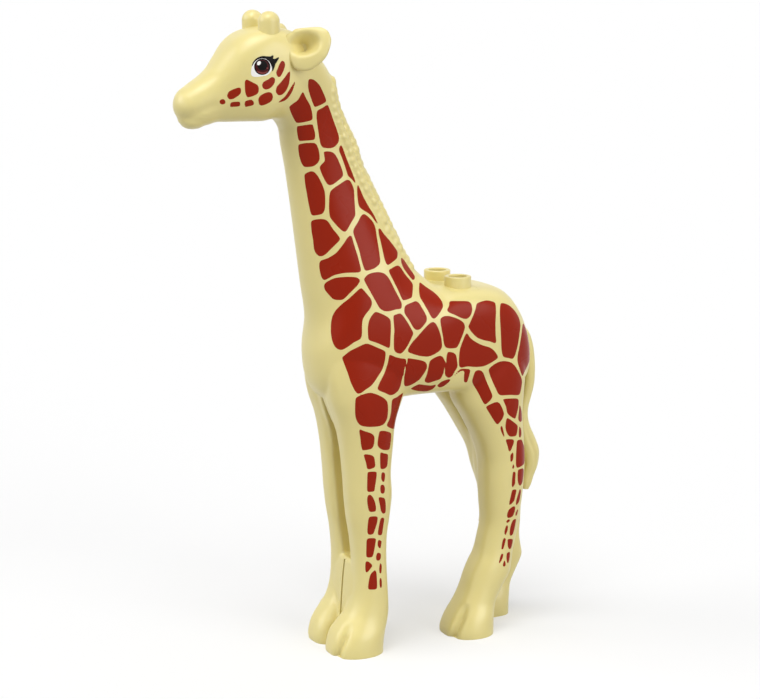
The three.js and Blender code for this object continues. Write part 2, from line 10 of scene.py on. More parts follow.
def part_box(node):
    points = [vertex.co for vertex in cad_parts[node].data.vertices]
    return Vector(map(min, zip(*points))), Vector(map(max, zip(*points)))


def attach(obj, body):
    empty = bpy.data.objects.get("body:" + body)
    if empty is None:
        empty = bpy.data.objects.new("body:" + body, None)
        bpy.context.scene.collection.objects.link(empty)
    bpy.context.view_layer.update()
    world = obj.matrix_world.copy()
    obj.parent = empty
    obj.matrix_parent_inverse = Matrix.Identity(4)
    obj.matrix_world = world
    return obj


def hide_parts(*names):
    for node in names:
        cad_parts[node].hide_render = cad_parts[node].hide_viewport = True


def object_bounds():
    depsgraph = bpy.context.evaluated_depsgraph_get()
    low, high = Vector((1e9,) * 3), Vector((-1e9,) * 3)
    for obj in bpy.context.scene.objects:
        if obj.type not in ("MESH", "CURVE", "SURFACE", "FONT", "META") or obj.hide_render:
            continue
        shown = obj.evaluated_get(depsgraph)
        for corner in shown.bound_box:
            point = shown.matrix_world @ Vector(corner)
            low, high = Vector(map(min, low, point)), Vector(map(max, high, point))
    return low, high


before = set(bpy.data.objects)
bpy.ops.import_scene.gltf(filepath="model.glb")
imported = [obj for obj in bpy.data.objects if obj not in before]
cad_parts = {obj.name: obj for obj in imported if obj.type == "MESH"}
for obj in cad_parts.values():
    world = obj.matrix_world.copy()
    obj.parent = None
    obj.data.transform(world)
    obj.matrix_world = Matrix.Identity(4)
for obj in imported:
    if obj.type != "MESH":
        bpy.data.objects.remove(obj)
cad_low, cad_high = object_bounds()

# Forms are worked out in millimetres, with the stud row at Y = 0 and the floor at Z = 0.
# The giraffe looks along -Y and its left side is +X.
MM = 0.001
stud_low, stud_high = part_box("stud_insert")
STUD_ROW = (stud_low.y + stud_high.y) / 2 / MM
BODY = "root"

# Driving sizes, as in the frame
LEG_HEIGHT = 46.0
TRUNK_DEPTH = 20.2
TRUNK_LENGTH = 46.0
TRUNK_WIDTH = 19.0
NECK_HEIGHT = 31.0
NECK_BREADTH = 22.0
NECK_LEAN = 3.8
NECK_WIDTH = 10.8
HEAD_LENGTH = 29.5
HEAD_HEIGHT = 15.9
HEAD_WIDTH = 13.4
HOOF_LENGTH = 10.6
HOOF_WIDTH = 9.5
HOOF_SPREAD = 4.7
WEB_INSET = 1.1
SLOT_DEPTH = 4.5
SLOT_CUT = 3.7
SHEET_DEPTH = 3.0
CHEST_INSET = 0.3
STUD_DIAMETER = 4.9
STUD_HEIGHT = 1.7
STUD_BORE = 3.35
STUD_PITCH = 8.0
SOCKET_DEPTH = 3.4
INSERT_WIDTH = 13.8
INSERT_LENGTH = 5.6
EAR_LENGTH = 7.9
EAR_HEIGHT = 7.4
EAR_TURN = math.radians(54)
EAR_TILT = math.radians(15)
EAR_LEAN_SHARE = -0.1
HORN_DIAMETER = 3.7
HORN_HEIGHT = 5.3
HORN_SPACING = 7.2
TAIL_LENGTH = 31.5
TAIL_THICKNESS = 2.4
TUFT_THICKNESS = 4.0
BACK_HEIGHT = LEG_HEIGHT + TRUNK_DEPTH
CHEST = -0.61 * TRUNK_LENGTH
STRIDE = STUD_PITCH
LEFT_AND_RIGHT = (("left", 1), ("right", -1))

# How finely the forms are made
VOXEL = 0.28
BODY_SIDES = 96
LEG_SIDES = 48
SNOUT_SIDES = 48
BEAD_SIDES = 16
LATHE_SIDES = 64
CIRCLE_SIDES = 24
STEPS = 6
TAIL_STEPS = 8
DOME_STEPS = 14
EDGE_STEPS = 7
SMOOTHING_PULLS = (0.5, -0.53)  # towards the neighbours, then back out
POLE_RADIUS = 0.01
GUARD = 1e-12  # against a division by zero


# Camera, at the photograph's place

PHOTO_WIDTH = 760
PHOTO_HEIGHT = 699
AZIMUTH = math.radians(63.81)
ELEVATION = math.radians(11.65)
FOCAL_PIXELS = 2022.4
AIM = Vector((0, -13.73, 54.76))
DISTANCE = 366.8
NEAREST_SEEN = DISTANCE / 10
FURTHEST_SEEN = DISTANCE * 100
SENSOR_WIDTH = 36.0

BACK = Vector((
    math.sin(AZIMUTH) * math.cos(ELEVATION),
    -math.cos(AZIMUTH) * math.cos(ELEVATION),
    math.sin(ELEVATION),
))
EYE_POINT = AIM + BACK * DISTANCE
RIGHT = Vector((math.cos(AZIMUTH), math.sin(AZIMUTH), 0))
UP = RIGHT.cross(-BACK)


def pixels(points):
    """Where points fall in the photograph, as an array of columns and rows."""
    offset = np.asarray(points) - np.array(EYE_POINT)
    depth = -offset @ np.array(BACK)
    column = PHOTO_WIDTH / 2 + FOCAL_PIXELS * (offset @ np.array(RIGHT)) / depth
    row = PHOTO_HEIGHT / 2 - FOCAL_PIXELS * (offset @ np.array(UP)) / depth
    return np.column_stack([column, row])


def sight_line(column, row):
    """Direction from the camera through a pixel of the photograph."""
    across = (column - PHOTO_WIDTH / 2) / FOCAL_PIXELS
    down = (row - PHOTO_HEIGHT / 2) / FOCAL_PIXELS
    return (RIGHT * across - UP * down - BACK).normalized()


def in_frame(points):
    """Millimetres beside the stud row to metres in the row frame."""
    return (np.asarray(points, float) + [0, STUD_ROW, 0]) * MM


def make_camera():
    data = bpy.data.cameras.new("camera")
    data.sensor_fit = "HORIZONTAL"
    data.sensor_width = SENSOR_WIDTH
    data.lens = SENSOR_WIDTH * FOCAL_PIXELS / PHOTO_WIDTH
    data.clip_start = NEAREST_SEEN * MM
    data.clip_end = FURTHEST_SEEN * MM
    camera = bpy.data.objects.new("camera", data)
    camera.location = in_frame([EYE_POINT])[0]
    camera.rotation_mode = "QUATERNION"
    camera.rotation_quaternion = (-BACK).to_track_quat("-Z", "Y")
    bpy.context.collection.objects.link(camera)
    bpy.context.scene.camera = camera


# Meshes as arrays: points, and faces as rows of point numbers

def normals_of(points, triangles):
    """Smooth normals at the points."""
    a, b, c = (points[triangles[:, corner]] for corner in range(3))
    face_normals = np.cross(b - a, c - a)
    total = np.zeros_like(points)
    for corner in range(3):
        for axis in range(3):
            total[:, axis] += np.bincount(triangles[:, corner], face_normals[:, axis], len(points))
    length = np.linalg.norm(total, axis=1, keepdims=True)
    return total / np.maximum(length, GUARD)


def mesh_of(name, points, faces):
    mesh = bpy.data.meshes.new(name)
    mesh.from_pydata(np.asarray(points).tolist(), [], [list(face) for face in faces], shade_flat=False)
    mesh.update()
    return mesh


def outward(points, triangles):
    """Turns closed faces round if they point inwards."""
    a, b, c = (points[triangles[:, corner]] for corner in range(3))
    volume = np.einsum("ij,ij->i", a, np.cross(b, c)).sum()
    return triangles if volume > 0 else triangles[:, ::-1]


def evaluated(points, faces, change):
    """The mesh after change(object) has put its modifiers on it, as points and triangles."""
    obj = bpy.data.objects.new("work", mesh_of("work", points, faces))
    bpy.context.collection.objects.link(obj)
    change(obj)
    result = obj.evaluated_get(bpy.context.evaluated_depsgraph_get()).to_mesh()
    result.calc_loop_triangles()
    new_points = np.empty(len(result.vertices) * 3)
    result.vertices.foreach_get("co", new_points)
    triangles = np.empty(len(result.loop_triangles) * 3, int)
    result.loop_triangles.foreach_get("vertices", triangles)
    bpy.data.objects.remove(obj)
    return new_points.reshape(-1, 3), triangles.reshape(-1, 3)


def joined(parts):
    """Several point and face arrays as one."""
    start = 0
    points, faces = [], []
    for part_points, part_faces in parts:
        points.append(part_points)
        faces.append(np.asarray(part_faces) + start)
        start += len(part_points)
    return np.vstack(points), np.vstack(faces)


def kept(points, faces):
    """What some faces use: the numbers of their points, those points, and the faces on them."""
    used, renumbered = np.unique(faces, return_inverse=True)
    return used, points[used], renumbered.reshape(-1, 3)


def fused(parts):
    """One closed surface round overlapping closed parts."""
    def change(obj):
        remesh = obj.modifiers.new("fuse", "REMESH")
        remesh.mode = "VOXEL"
        remesh.voxel_size = VOXEL
    return evaluated(*joined(parts), change)


def combined(part, other, operation):
    """Part with other cut out of it, added to it or kept in common with it."""
    cutter = bpy.data.objects.new("cutter", mesh_of("cutter", *other))
    bpy.context.collection.objects.link(cutter)

    def change(obj):
        modifier = obj.modifiers.new("combine", "BOOLEAN")
        modifier.object = cutter
        modifier.operation = operation
        modifier.solver = "MANIFOLD"
    result = evaluated(*part, change)
    bpy.data.objects.remove(cutter)
    return result


def smoothed(points, triangles, rounds, weight=1.0):
    """Evens out a surface without shrinking it."""
    pairs = np.vstack([triangles[:, [corner, corner - 1]] for corner in range(3)])
    pairs = np.unique(np.sort(pairs, axis=1), axis=0)
    ends = np.concatenate([pairs[:, 0], pairs[:, 1]])
    others = np.concatenate([pairs[:, 1], pairs[:, 0]])
    count = np.bincount(ends, minlength=len(points))[:, None]
    weight = np.broadcast_to(np.asarray(weight, float), len(points))[:, None]
    points = points.copy()
    for _ in range(rounds):
        for pull in SMOOTHING_PULLS:
            total = np.column_stack([
                np.bincount(ends, points[others, axis], len(points)) for axis in range(3)
            ])
            points += pull * weight * (total / count - points)
    return points


# Lofts, as in the frame. A station is one cross-section: upper and lower point on the side
# view, half width, middle in X and squareness. A leg has its rear and its front in place of
# the two points, and a half width and a squareness of its own towards the other leg.

def station(top, bottom, half, middle=0.0, square=2.0, inner=None, inner_square=None):
    if inner is None:
        inner, inner_square = half, square
    return np.array([*top, *bottom, half, middle, square, inner, inner_square])


def curve(start, end, slope_in, slope_out, t):
    """A smooth run from start to end, with a slope of its own at each."""
    gap = start - end
    bend = 2 * gap + slope_in + slope_out
    return start + slope_in * t + (-3 * gap - 2 * slope_in - slope_out) * t**2 + bend * t**3


def between(stations, place):
    """A smooth value between stations."""
    last = len(stations) - 1
    here = min(int(place), last - 1)
    t = place - here
    before, start, end, after = (
        stations[min(max(here + step, 0), last)] for step in (-1, 0, 1, 2)
    )
    return curve(start, end, (end - before) / 2, (after - start) / 2, t)


def powered(value, square):
    return np.sign(value) * np.abs(value) ** (2 / square)


def upper_point(cross_section, distance):
    """The point of a cross-section's upper side at a distance from the middle plane."""
    top_y, top_z, low_y, low_z, half, _, square = cross_section[:7]
    across = abs(distance / half) ** (square / 2)
    up = (1 + math.sqrt(1 - across**2) ** (2 / square)) / 2
    return Vector((distance, low_y + (top_y - low_y) * up, low_z + (top_z - low_z) * up))


def ring(cross_section, sides):
    top_y, top_z, low_y, low_z, half, middle, square, inner, inner_square = cross_section
    angle = 2 * np.pi * (np.arange(sides) + 0.5) / sides
    inwards = np.cos(angle) * middle < 0
    power = np.where(inwards, inner_square, square)
    across = powered(np.cos(angle), power)
    up = (1 + powered(np.sin(angle), power)) / 2
    return np.column_stack([
        middle + np.where(inwards, inner, half) * across,
        low_y + (top_y - low_y) * up,
        low_z + (top_z - low_z) * up,
    ])


def skinned(rings):
    """A closed surface through rings of equally many points."""
    count, sides = len(rings), len(rings[0])
    points = np.vstack([*rings, rings[0].mean(0), rings[-1].mean(0)])
    here = np.arange(sides)
    following = (here + 1) % sides
    start = (np.arange(count - 1) * sides)[:, None]
    a, b = (start + here).ravel(), (start + following).ravel()
    walls = [np.column_stack([a, b, b + sides]), np.column_stack([a, b + sides, a + sides])]
    first_pole, last_pole = np.full(sides, count * sides), np.full(sides, count * sides + 1)
    end = (count - 1) * sides
    caps = [
        np.column_stack([first_pole, following, here]),
        np.column_stack([last_pole, end + here, end + following]),
    ]
    return points, outward(points, np.vstack(walls + caps))


def loft(stations, sides):
    count = (len(stations) - 1) * STEPS
    return skinned([ring(between(stations, step / STEPS), sides) for step in range(count + 1)])


def ellipsoid(half_sizes, centre, sides, turn=None):
    rows = [math.pi * row / (sides / 2) for row in range(1, sides // 2)]
    angle = 2 * np.pi * np.arange(sides) / sides
    rings = [np.column_stack([
        math.sin(row) * np.cos(angle), math.sin(row) * np.sin(angle), np.full(sides, math.cos(row)),
    ]) for row in rows]
    points, faces = skinned(rings)
    points[-2:] = [[0, 0, 1], [0, 0, -1]]
    points = points * half_sizes
    if turn is not None:
        points = points @ np.array(turn.to_3x3()).T
    return points + np.array(centre), faces


def lathe(profile, centre):
    """A closed solid turned about Z, from a profile of radius and height."""
    angle = 2 * np.pi * np.arange(LATHE_SIDES) / LATHE_SIDES
    rings = [np.column_stack([
        radius * np.cos(angle), radius * np.sin(angle), np.full(LATHE_SIDES, height),
    ]) for radius, height in profile]
    points, faces = skinned(rings)
    return points + np.array(centre), faces


def block(low, high):
    low, high = np.array(low, float), np.array(high, float)
    points = np.array([[x, y, z] for x in (0, 1) for y in (0, 1) for z in (0, 1)]) * (high - low) + low
    faces = np.array([
        [0, 1, 3], [0, 3, 2], [4, 6, 7], [4, 7, 5], [0, 4, 5], [0, 5, 1],
        [2, 3, 7], [2, 7, 6], [0, 2, 6], [0, 6, 4], [1, 5, 7], [1, 7, 3],
    ])
    return points, outward(points, faces)


# Places on the side view, from shares of the sizes they follow

def on_trunk(along, up):
    return along * TRUNK_LENGTH, LEG_HEIGHT + up * TRUNK_DEPTH


def on_neck(back, up):
    return CHEST - up * NECK_LEAN + back * NECK_BREADTH, BACK_HEIGHT + up * NECK_HEIGHT


THROAT = on_neck(0, 1)


def on_head(forward, up):
    return THROAT[0] - forward * HEAD_LENGTH, THROAT[1] + up * HEAD_HEIGHT


TRUNK_SHARES = [
    # upper point, lower point, half width
    [0.342, 0.33, 0.342, 0.13, 0.11],
    [0.322, 0.52, 0.318, 0.03, 0.27],
    [0.279, 0.755, 0.267, -0.02, 0.385],
    [0.196, 0.935, 0.187, 0.015, 0.465],
    [0.08, 0.99, 0.08, 0.042, 0.495],
    [-0.043, 1, -0.043, 0.042, 0.5],
]
TRUNK_SQUARENESS = (2.3, 2.3, 2.5, 3.3, 4.6, 4.6)
SHOULDER_SHARES = [
    # upper point on the neck, lower point on the trunk, half width of the trunk
    [1.07, 0.015, -0.196, 0.027, 0.5],
    [0.965, 0.085, -0.337, -0.01, 0.5],
    [0.888, 0.16, -0.49, -0.01, 0.49],
    [0.83, 0.23, -0.585, 0.14, 0.47],
    [0.8, 0.305, -0.612, 0.42, 0.44],
]
SHOULDER_SQUARENESS = (3.3, 2.6, 2.4, 2.4, 2.4)
NECK_SHARES = [
    # upper point, lower point, half width of the neck
    [0.762, 0.385, -0.02, -0.17, 0.71],
    [0.714, 0.48, -0.027, 0.05, 0.64],
    [0.648, 0.6, -0.032, 0.28, 0.575],
    [0.577, 0.73, -0.037, 0.52, 0.52],
    [0.535, 0.865, -0.045, 0.72, 0.495],
    [0.472, 0.98, -0.055, 0.85, 0.495],
]
NECK_SQUARENESS = 2.15
HEAD_SHARES = [
    # upper point, lower point, half width of the head, squareness
    [-0.295, 0.2, 0.028, -0.13, 0.41, 2.3],
    [-0.268, 0.44, 0.05, -0.045, 0.44, 2.4],
    [-0.175, 0.7, 0.075, 0, 0.475, 2.45],
    [-0.04, 0.935, 0.13, 0.01, 0.5, 2.7],
    [0.13, 1, 0.195, 0, 0.5, 3.8],
    [0.265, 0.965, 0.265, 0, 0.48, 3.3],
    [0.355, 0.87, 0.335, 0, 0.435, 2.9],
    [0.42, 0.725, 0.395, 0, 0.375, 2.6],
    [0.475, 0.59, 0.455, 0, 0.33, 2.45],
    [0.535, 0.495, 0.52, -0.03, 0.3, 2.4],
    [0.6, 0.42, 0.59, -0.045, 0.27, 2.3],
    [0.655, 0.34, 0.645, 0.01, 0.215, 2.2],
    [0.685, 0.24, 0.68, 0.11, 0.12, 2.1],
]
FRONT_LEG_SHARES = [
    # height, front and rear from the middle of the hoof, outer and inner half width
    [-0.012, -0.44, 0.5, 0.5, 0.49],
    [0.026, -0.445, 0.5, 0.5, 0.49],
    [0.08, -0.38, 0.535, 0.475, 0.47],
    [0.123, -0.26, 0.59, 0.41, 0.4],
    [0.167, -0.105, 0.615, 0.37, 0.36],
    [0.242, -0.01, 0.605, 0.345, 0.335],
    [0.352, 0.01, 0.58, 0.33, 0.325],
    [0.462, -0.03, 0.585, 0.33, 0.325],
    [0.55, -0.095, 0.64, 0.355, 0.33],
    [0.637, -0.135, 0.68, 0.38, 0.335],
    [0.725, -0.16, 0.66, 0.39, 0.338],
    [0.835, -0.21, 0.7, 0.41, 0.36],
    [0.934, -0.29, 0.75, 0.44, 0.425],
    [1.033, -0.43, 0.905, 0.47, 0.5],
    [1.143, -0.49, 1.1, 0.46, 0.5],
    [1.275, -0.42, 1.08, 0.38, 0.38],
    [1.385, -0.15, 0.77, 0.2, 0.2],
]
HIND_LEG_SHARES = [
    # height, front and rear from the middle of the hoof, outer and inner half width, share
    # of the stride
    [-0.012, -0.465, 0.41, 0.5, 0.49, 1],
    [0.026, -0.475, 0.41, 0.5, 0.49, 1],
    [0.08, -0.38, 0.42, 0.465, 0.46, 1.01],
    [0.132, -0.255, 0.47, 0.39, 0.39, 1.01],
    [0.187, -0.14, 0.6, 0.37, 0.37, 1],
    [0.242, -0.055, 0.75, 0.37, 0.37, 0.95],
    [0.286, 0.03, 0.785, 0.36, 0.36, 0.87],
    [0.334, 0.135, 0.815, 0.335, 0.335, 0.8],
    [0.396, 0.205, 0.88, 0.325, 0.325, 0.74],
    [0.462, 0.26, 0.93, 0.33, 0.33, 0.66],
    [0.55, 0.24, 0.985, 0.36, 0.36, 0.56],
    [0.637, 0.22, 1.015, 0.38, 0.38, 0.41],
    [0.725, 0.205, 1.025, 0.39, 0.4, 0.28],
    [0.813, 0.08, 0.995, 0.41, 0.42, 0.16],
    [0.9, -0.115, 0.965, 0.44, 0.44, 0.11],
    [0.989, -0.33, 0.99, 0.47, 0.46, 0.07],
    [1.1, -0.36, 1.01, 0.47, 0.47, 0.03],
    [1.23, -0.22, 0.9, 0.4, 0.4, 0],
    [1.34, 0.06, 0.62, 0.2, 0.2, 0],
]
FRONT_HOOF = -0.463 * TRUNK_LENGTH
HIND_HOOF = FRONT_HOOF + 3 * STUD_PITCH
SLOT_ROWS = (5, 13)
CHEST_ROWS = (12, 15)
HIND_WEB_ROWS = (8, 13)
TONGUE_SHARES = [
    # height, front from the middle of the hoof, half width
    [0.03, -0.062, 0.03],
    [0.14, -0.048, 0.03],
    [0.265, -0.012, 0.03],
    [0.35, 0.03, 0.03],
]
SLOT_SHARES = [
    # height, front from the middle of the hoof, half width of the slot between the front legs
    [0.36, 0.073, 0.185],
    [0.404, 0.064, 0.2],
    [0.454, 0.055, 0.212],
    [0.504, 0.02, 0.21],
    [0.556, -0.031, 0.19],
    [0.655, -0.064, 0.195],
    [0.754, -0.084, 0.205],
    [0.803, -0.107, 0.185],
    [0.853, -0.152, 0.16],
    [0.903, -0.209, 0.14],
    [0.953, -0.288, 0.09],
    [1.004, -0.377, 0.05],
    [1.03, -0.42, 0.008],
]
HIND_SLOT_SHARES = [
    # the same for the slot between the hind legs
    [0.735, 0.39, 0.02],
    [0.77, 0.31, 0.09],
    [0.811, 0.217, 0.125],
    [0.887, 0.038, 0.13],
    [0.93, -0.08, 0.11],
    [0.975, -0.21, 0.06],
]
HIND_SLOT_DEPTH = 5.5
TONGUE_GROOVE_DEPTH = 1.6
TONGUE_DEPTH_SHARE = 0.5
ROWS_ABOVE_SHEET = 2
LEG_SQUARENESS = 2.2
LEG_INNER_SQUARENESS = 3.6
WEB_SQUARENESS = 5
SLIT_SQUARENESS = 8


def body_stations():
    head_squareness = [row[5] for row in HEAD_SHARES]
    neck_squareness = [NECK_SQUARENESS] * len(NECK_SHARES)
    groups = [
        (TRUNK_SHARES, TRUNK_SQUARENESS, on_trunk, on_trunk, TRUNK_WIDTH),
        (SHOULDER_SHARES, SHOULDER_SQUARENESS, on_neck, on_trunk, TRUNK_WIDTH),
        (NECK_SHARES, neck_squareness, on_neck, on_neck, NECK_WIDTH),
        (HEAD_SHARES, head_squareness, on_head, on_head, HEAD_WIDTH),
    ]
    return [
        station(upper(*row[:2]), lower(*row[2:4]), row[4] * width, 0, square)
        for shares, squareness, upper, lower, width in groups
        for row, square in zip(shares, squareness)
    ]


BODY_ROWS = body_stations()


def stride_share(row):
    """How much of the stride a row of a leg's shares has."""
    return row[5] if len(row) > 5 else 0


def leg_row(row, hoof, shift):
    """Rear, front and height of a leg on the side view, for one row of its shares."""
    middle = hoof + stride_share(row) * shift
    return middle + row[2] * HOOF_LENGTH, middle + row[1] * HOOF_LENGTH, row[0] * LEG_HEIGHT


def leg(shares, hoof, side, shift):
    stations = []
    for row in shares:
        rear, front, height = leg_row(row, hoof, shift)
        outer, inner = row[3] * HOOF_WIDTH, row[4] * HOOF_WIDTH
        stations.append(station(
            (rear, height), (front, height),
            outer, side * HOOF_SPREAD, LEG_SQUARENESS, inner, LEG_INNER_SQUARENESS,
        ))
    return loft(stations, LEG_SIDES)


def web(shares, rows, hoof, shift, front_inset=WEB_INSET):
    """The web that joins two legs, a narrower copy of their outline over some rows."""
    first, last = rows
    stations = []
    for row in shares[first:last + 1]:
        rear, front, height = leg_row(row, hoof, shift / 2)
        stations.append(station(
            (rear - WEB_INSET, height), (front + front_inset, height), HOOF_SPREAD, 0, WEB_SQUARENESS,
        ))
    return loft(stations, LEG_SIDES)


def slit(shares, hoof, depth, ahead=HOOF_LENGTH):
    """A narrow form in the middle plane, from ahead of its front line to depth behind it."""
    stations = [
        station(
            (hoof + front * HOOF_LENGTH + depth, height * LEG_HEIGHT),
            (hoof + front * HOOF_LENGTH - ahead, height * LEG_HEIGHT),
            half * HOOF_WIDTH, 0, SLIT_SQUARENESS,
        )
        for height, front, half in shares
    ]
    return loft(stations, LEG_SIDES)


def filling(shares, depth):
    """The same between the front legs, as wide as their spread and flush with its front line."""
    wide = [(height, front, HOOF_SPREAD / HOOF_WIDTH) for height, front, _ in shares]
    return slit(wide, FRONT_HOOF, depth, 0)


def tongue():
    """The web between the lower front legs, with an upright front of its own."""
    return filling(TONGUE_SHARES, HOOF_LENGTH * TONGUE_DEPTH_SHARE)


def sheet():
    """The flush front of the web that the slot between the front legs is cut in."""
    return filling(SLOT_SHARES[:-ROWS_ABOVE_SHEET], SHEET_DEPTH)


# The mane, staggered rows of soft beads from the withers to behind the ears

MANE_FIRST_ROW = 8
MANE_LAST_ROW = 18
MANE_BEADS = 26
MANE_ROW_GAP = 1.45
MANE_SIDE_ROWS = 3
MANE_STARTS = (0.75, 0.25)  # of a bead's place, in even and in odd rows
MANE_STEPS = 300
MANE_PROBE = 0.3
MANE_SEED = 7
BEAD_HALVES = (0.9, 1.05, 0.64)
BEAD_UNEVENNESS = 0.12


def mane_beads():
    nape = BODY_ROWS[MANE_FIRST_ROW:MANE_LAST_ROW + 1]
    chance = np.random.default_rng(MANE_SEED)
    beads = []
    for row in range(-MANE_SIDE_ROWS, MANE_SIDE_ROWS + 1):
        distance = row * MANE_ROW_GAP
        places = [
            upper_point(between(nape, share * (len(nape) - 1)), distance)
            for share in np.linspace(0, 1, MANE_STEPS + 1)
        ]
        run = np.concatenate([[0], np.cumsum(np.linalg.norm(np.diff(places, axis=0), axis=1))])
        for bead in range(MANE_BEADS):
            wobble = BEAD_UNEVENNESS * chance.uniform(-1, 1, 4)
            along = (bead + MANE_STARTS[row % 2] + wobble[0]) / MANE_BEADS
            here = int(np.searchsorted(run, along * run[-1]).clip(1, MANE_STEPS - 1))
            direction = (places[here + 1] - places[here - 1]).normalized()
            place = between(nape, here / MANE_STEPS * (len(nape) - 1))
            one, other = (upper_point(place, distance + probe) for probe in (MANE_PROBE, -MANE_PROBE))
            across = (one - other).normalized()
            out = across.cross(direction).normalized()
            turn = Matrix((across, direction, out)).transposed()
            halves = np.array(BEAD_HALVES) * (1 + wobble[1:])
            beads.append(ellipsoid(halves, places[here], BEAD_SIDES, turn))
    return beads


# Rounded forms on the muzzle, as a place on the head and half sizes

NOSE_SHARES = (0.585, 0.19)
NOSE_HALVES = (3.6, 3.3, 3.4)
LIP_SHARES = (0.59, 0.035)
LIP_HALVES = (2.95, 2.5, 1.6)


def hooves():
    """Side and place along Y of each hoof."""
    return [(1, FRONT_HOOF), (1, HIND_HOOF), (-1, FRONT_HOOF), (-1, HIND_HOOF + STRIDE)]


# Carving, as moves of points along their normals

CLEFT_WIDTH = 0.8
CLEFT_DEPTH = 0.9
CLEFT_HEIGHT = 6.4
CLEFT_TURN = math.radians(23)
CLEFT_LEAN = math.radians(4)  # more turn for each millimetre above the floor
CLEFT_START = 1.0
CLEFT_FADE = 2.5
CLEFT_FACING = 1.5
MOUTH_WIDTH = 0.75
MOUTH_DEPTH = 0.22
MOUTH_FADE = 1.5
MOUTH_END_SHARE = 0.6
MOUTH_SHARES = [(0.66, -0.01), (0.633, 0.085), (0.565, 0.15), (0.495, 0.2)]


def distance_to_lines(places, start, end):
    """How far places lie from the nearest of some straight lines."""
    run = end - start
    offset = places[:, None] - start[None]
    along = np.clip((offset * run).sum(2) / np.maximum((run**2).sum(1), GUARD), 0, 1)
    return np.sqrt(((offset - along[..., None] * run) ** 2).sum(2)).min(1)


def mouth_depth(points):
    """A crease from the notch under the nose to the corner of the mouth, on both sides."""
    line = np.array([on_head(*place) for place in MOUTH_SHARES])
    away = distance_to_lines(points[:, 1:], line[:-1], line[1:])
    fade = np.clip((line[-1, 0] - points[:, 1]) / MOUTH_FADE + MOUTH_END_SHARE, 0, 1)
    return MOUTH_DEPTH * np.exp(-(away / MOUTH_WIDTH) ** 2) * fade


def cleft_depth(points, normals):
    """The groove that parts the toes of each hoof, turned outwards."""
    depth = np.zeros(len(points))
    for side, hoof in hooves():
        turn = side * (CLEFT_TURN + CLEFT_LEAN * points[:, 2])
        offset = points[:, :2] - [side * HOOF_SPREAD, hoof]
        across = offset[:, 0] * np.cos(turn) + offset[:, 1] * np.sin(turn)
        ahead = offset[:, 0] * np.sin(turn) - offset[:, 1] * np.cos(turn)
        facing = normals[:, 0] * np.sin(turn) - normals[:, 1] * np.cos(turn)
        fade = np.clip((CLEFT_HEIGHT - points[:, 2]) / CLEFT_FADE, 0, 1)
        fade = fade * np.clip(ahead - CLEFT_START, 0, 1)
        depth += np.exp(-(across / CLEFT_WIDTH) ** 2) * fade * np.clip(facing * CLEFT_FACING, 0, 1)
    return CLEFT_DEPTH * depth


# The whole body, before it is cut in halves

BLEND_ROUNDS = 60
BLEND_HEIGHT_SHARE = 1.06
BLEND_REACH = 5.0
BLEND_LOW_SHARE = 0.12
HIND_GAP_HALF = 3.5
HIND_GAP_FADE = 3
HIND_GAP_SHARE = 0.8
BEAD_ROUNDS = 4
SOLE_EDGE = 1.5
SOLE_LOW_SHARE = 0.1


def whole_body():
    parts = [
        loft(BODY_ROWS, BODY_SIDES),
        tongue(),
        sheet(),
        web(FRONT_LEG_SHARES, SLOT_ROWS, FRONT_HOOF, 0, SLOT_DEPTH),
        web(FRONT_LEG_SHARES, CHEST_ROWS, FRONT_HOOF, 0, CHEST_INSET),
        web(HIND_LEG_SHARES, HIND_WEB_ROWS, HIND_HOOF, STRIDE),
        ellipsoid(NOSE_HALVES, (0, *on_head(*NOSE_SHARES)), SNOUT_SIDES),
        ellipsoid(LIP_HALVES, (0, *on_head(*LIP_SHARES)), SNOUT_SIDES),
    ]
    for side in (1, -1):
        parts.append(leg(FRONT_LEG_SHARES, FRONT_HOOF, side, 0))
        parts.append(leg(HIND_LEG_SHARES, HIND_HOOF, side, STRIDE if side < 0 else 0))
    points, faces = fused(parts)
    points = smoothed(points, faces, BLEND_ROUNDS, blend_share(points))
    cutters = [
        slit(SLOT_SHARES, FRONT_HOOF, SLOT_CUT),
        slit(HIND_SLOT_SHARES, HIND_HOOF, HIND_SLOT_DEPTH, WEB_INSET),
    ]
    for cutter in cutters:
        points, faces = combined((points, faces), cutter, "DIFFERENCE")
    points, faces = fused([(points, faces), *mane_beads()])
    points = smoothed(points, faces, BEAD_ROUNDS, sole_share(points))
    normals = normals_of(points, faces)
    carved = mouth_depth(points) + cleft_depth(points, normals)
    points = points - normals * carved[:, None]
    return fitted(points), faces


def sole_share(points):
    """How much a surface near the floor is evened out, so that the hooves keep their edges."""
    return np.clip(points[:, 2] / SOLE_EDGE, SOLE_LOW_SHARE, 1)


def blend_share(points):
    """How much the surface is evened out: most where the legs run into the trunk and
    where the nose meets the muzzle, least between the hind legs and at the soles."""
    x, y, z = points.T
    chest = np.exp(-((z - BLEND_HEIGHT_SHARE * LEG_HEIGHT) / BLEND_REACH) ** 2)
    between_hind = np.clip((y - HIND_HOOF + HOOF_LENGTH) / HIND_GAP_FADE, 0, 1)
    between_hind = between_hind * np.clip(HIND_GAP_HALF - np.abs(x), 0, 1)
    chest *= 1 - HIND_GAP_SHARE * between_hind
    nose_y, nose_z = on_head(*NOSE_SHARES)
    muzzle = np.exp(-((y - nose_y - NOSE_HALVES[1]) ** 2 + (z - nose_z) ** 2) / BLEND_REACH**2)
    return np.clip(BLEND_LOW_SHARE + chest + muzzle, 0, 1) * sole_share(points)


def fitted(points):
    """Keeps points inside the box of the frame, with flat soles."""
    low = np.array(cad_low) / MM - [0, STUD_ROW, 0]
    high = np.array(cad_high) / MM - [0, STUD_ROW, 0]
    return np.clip(points, low, high)


# Spots, as outlines in the photograph's pixels

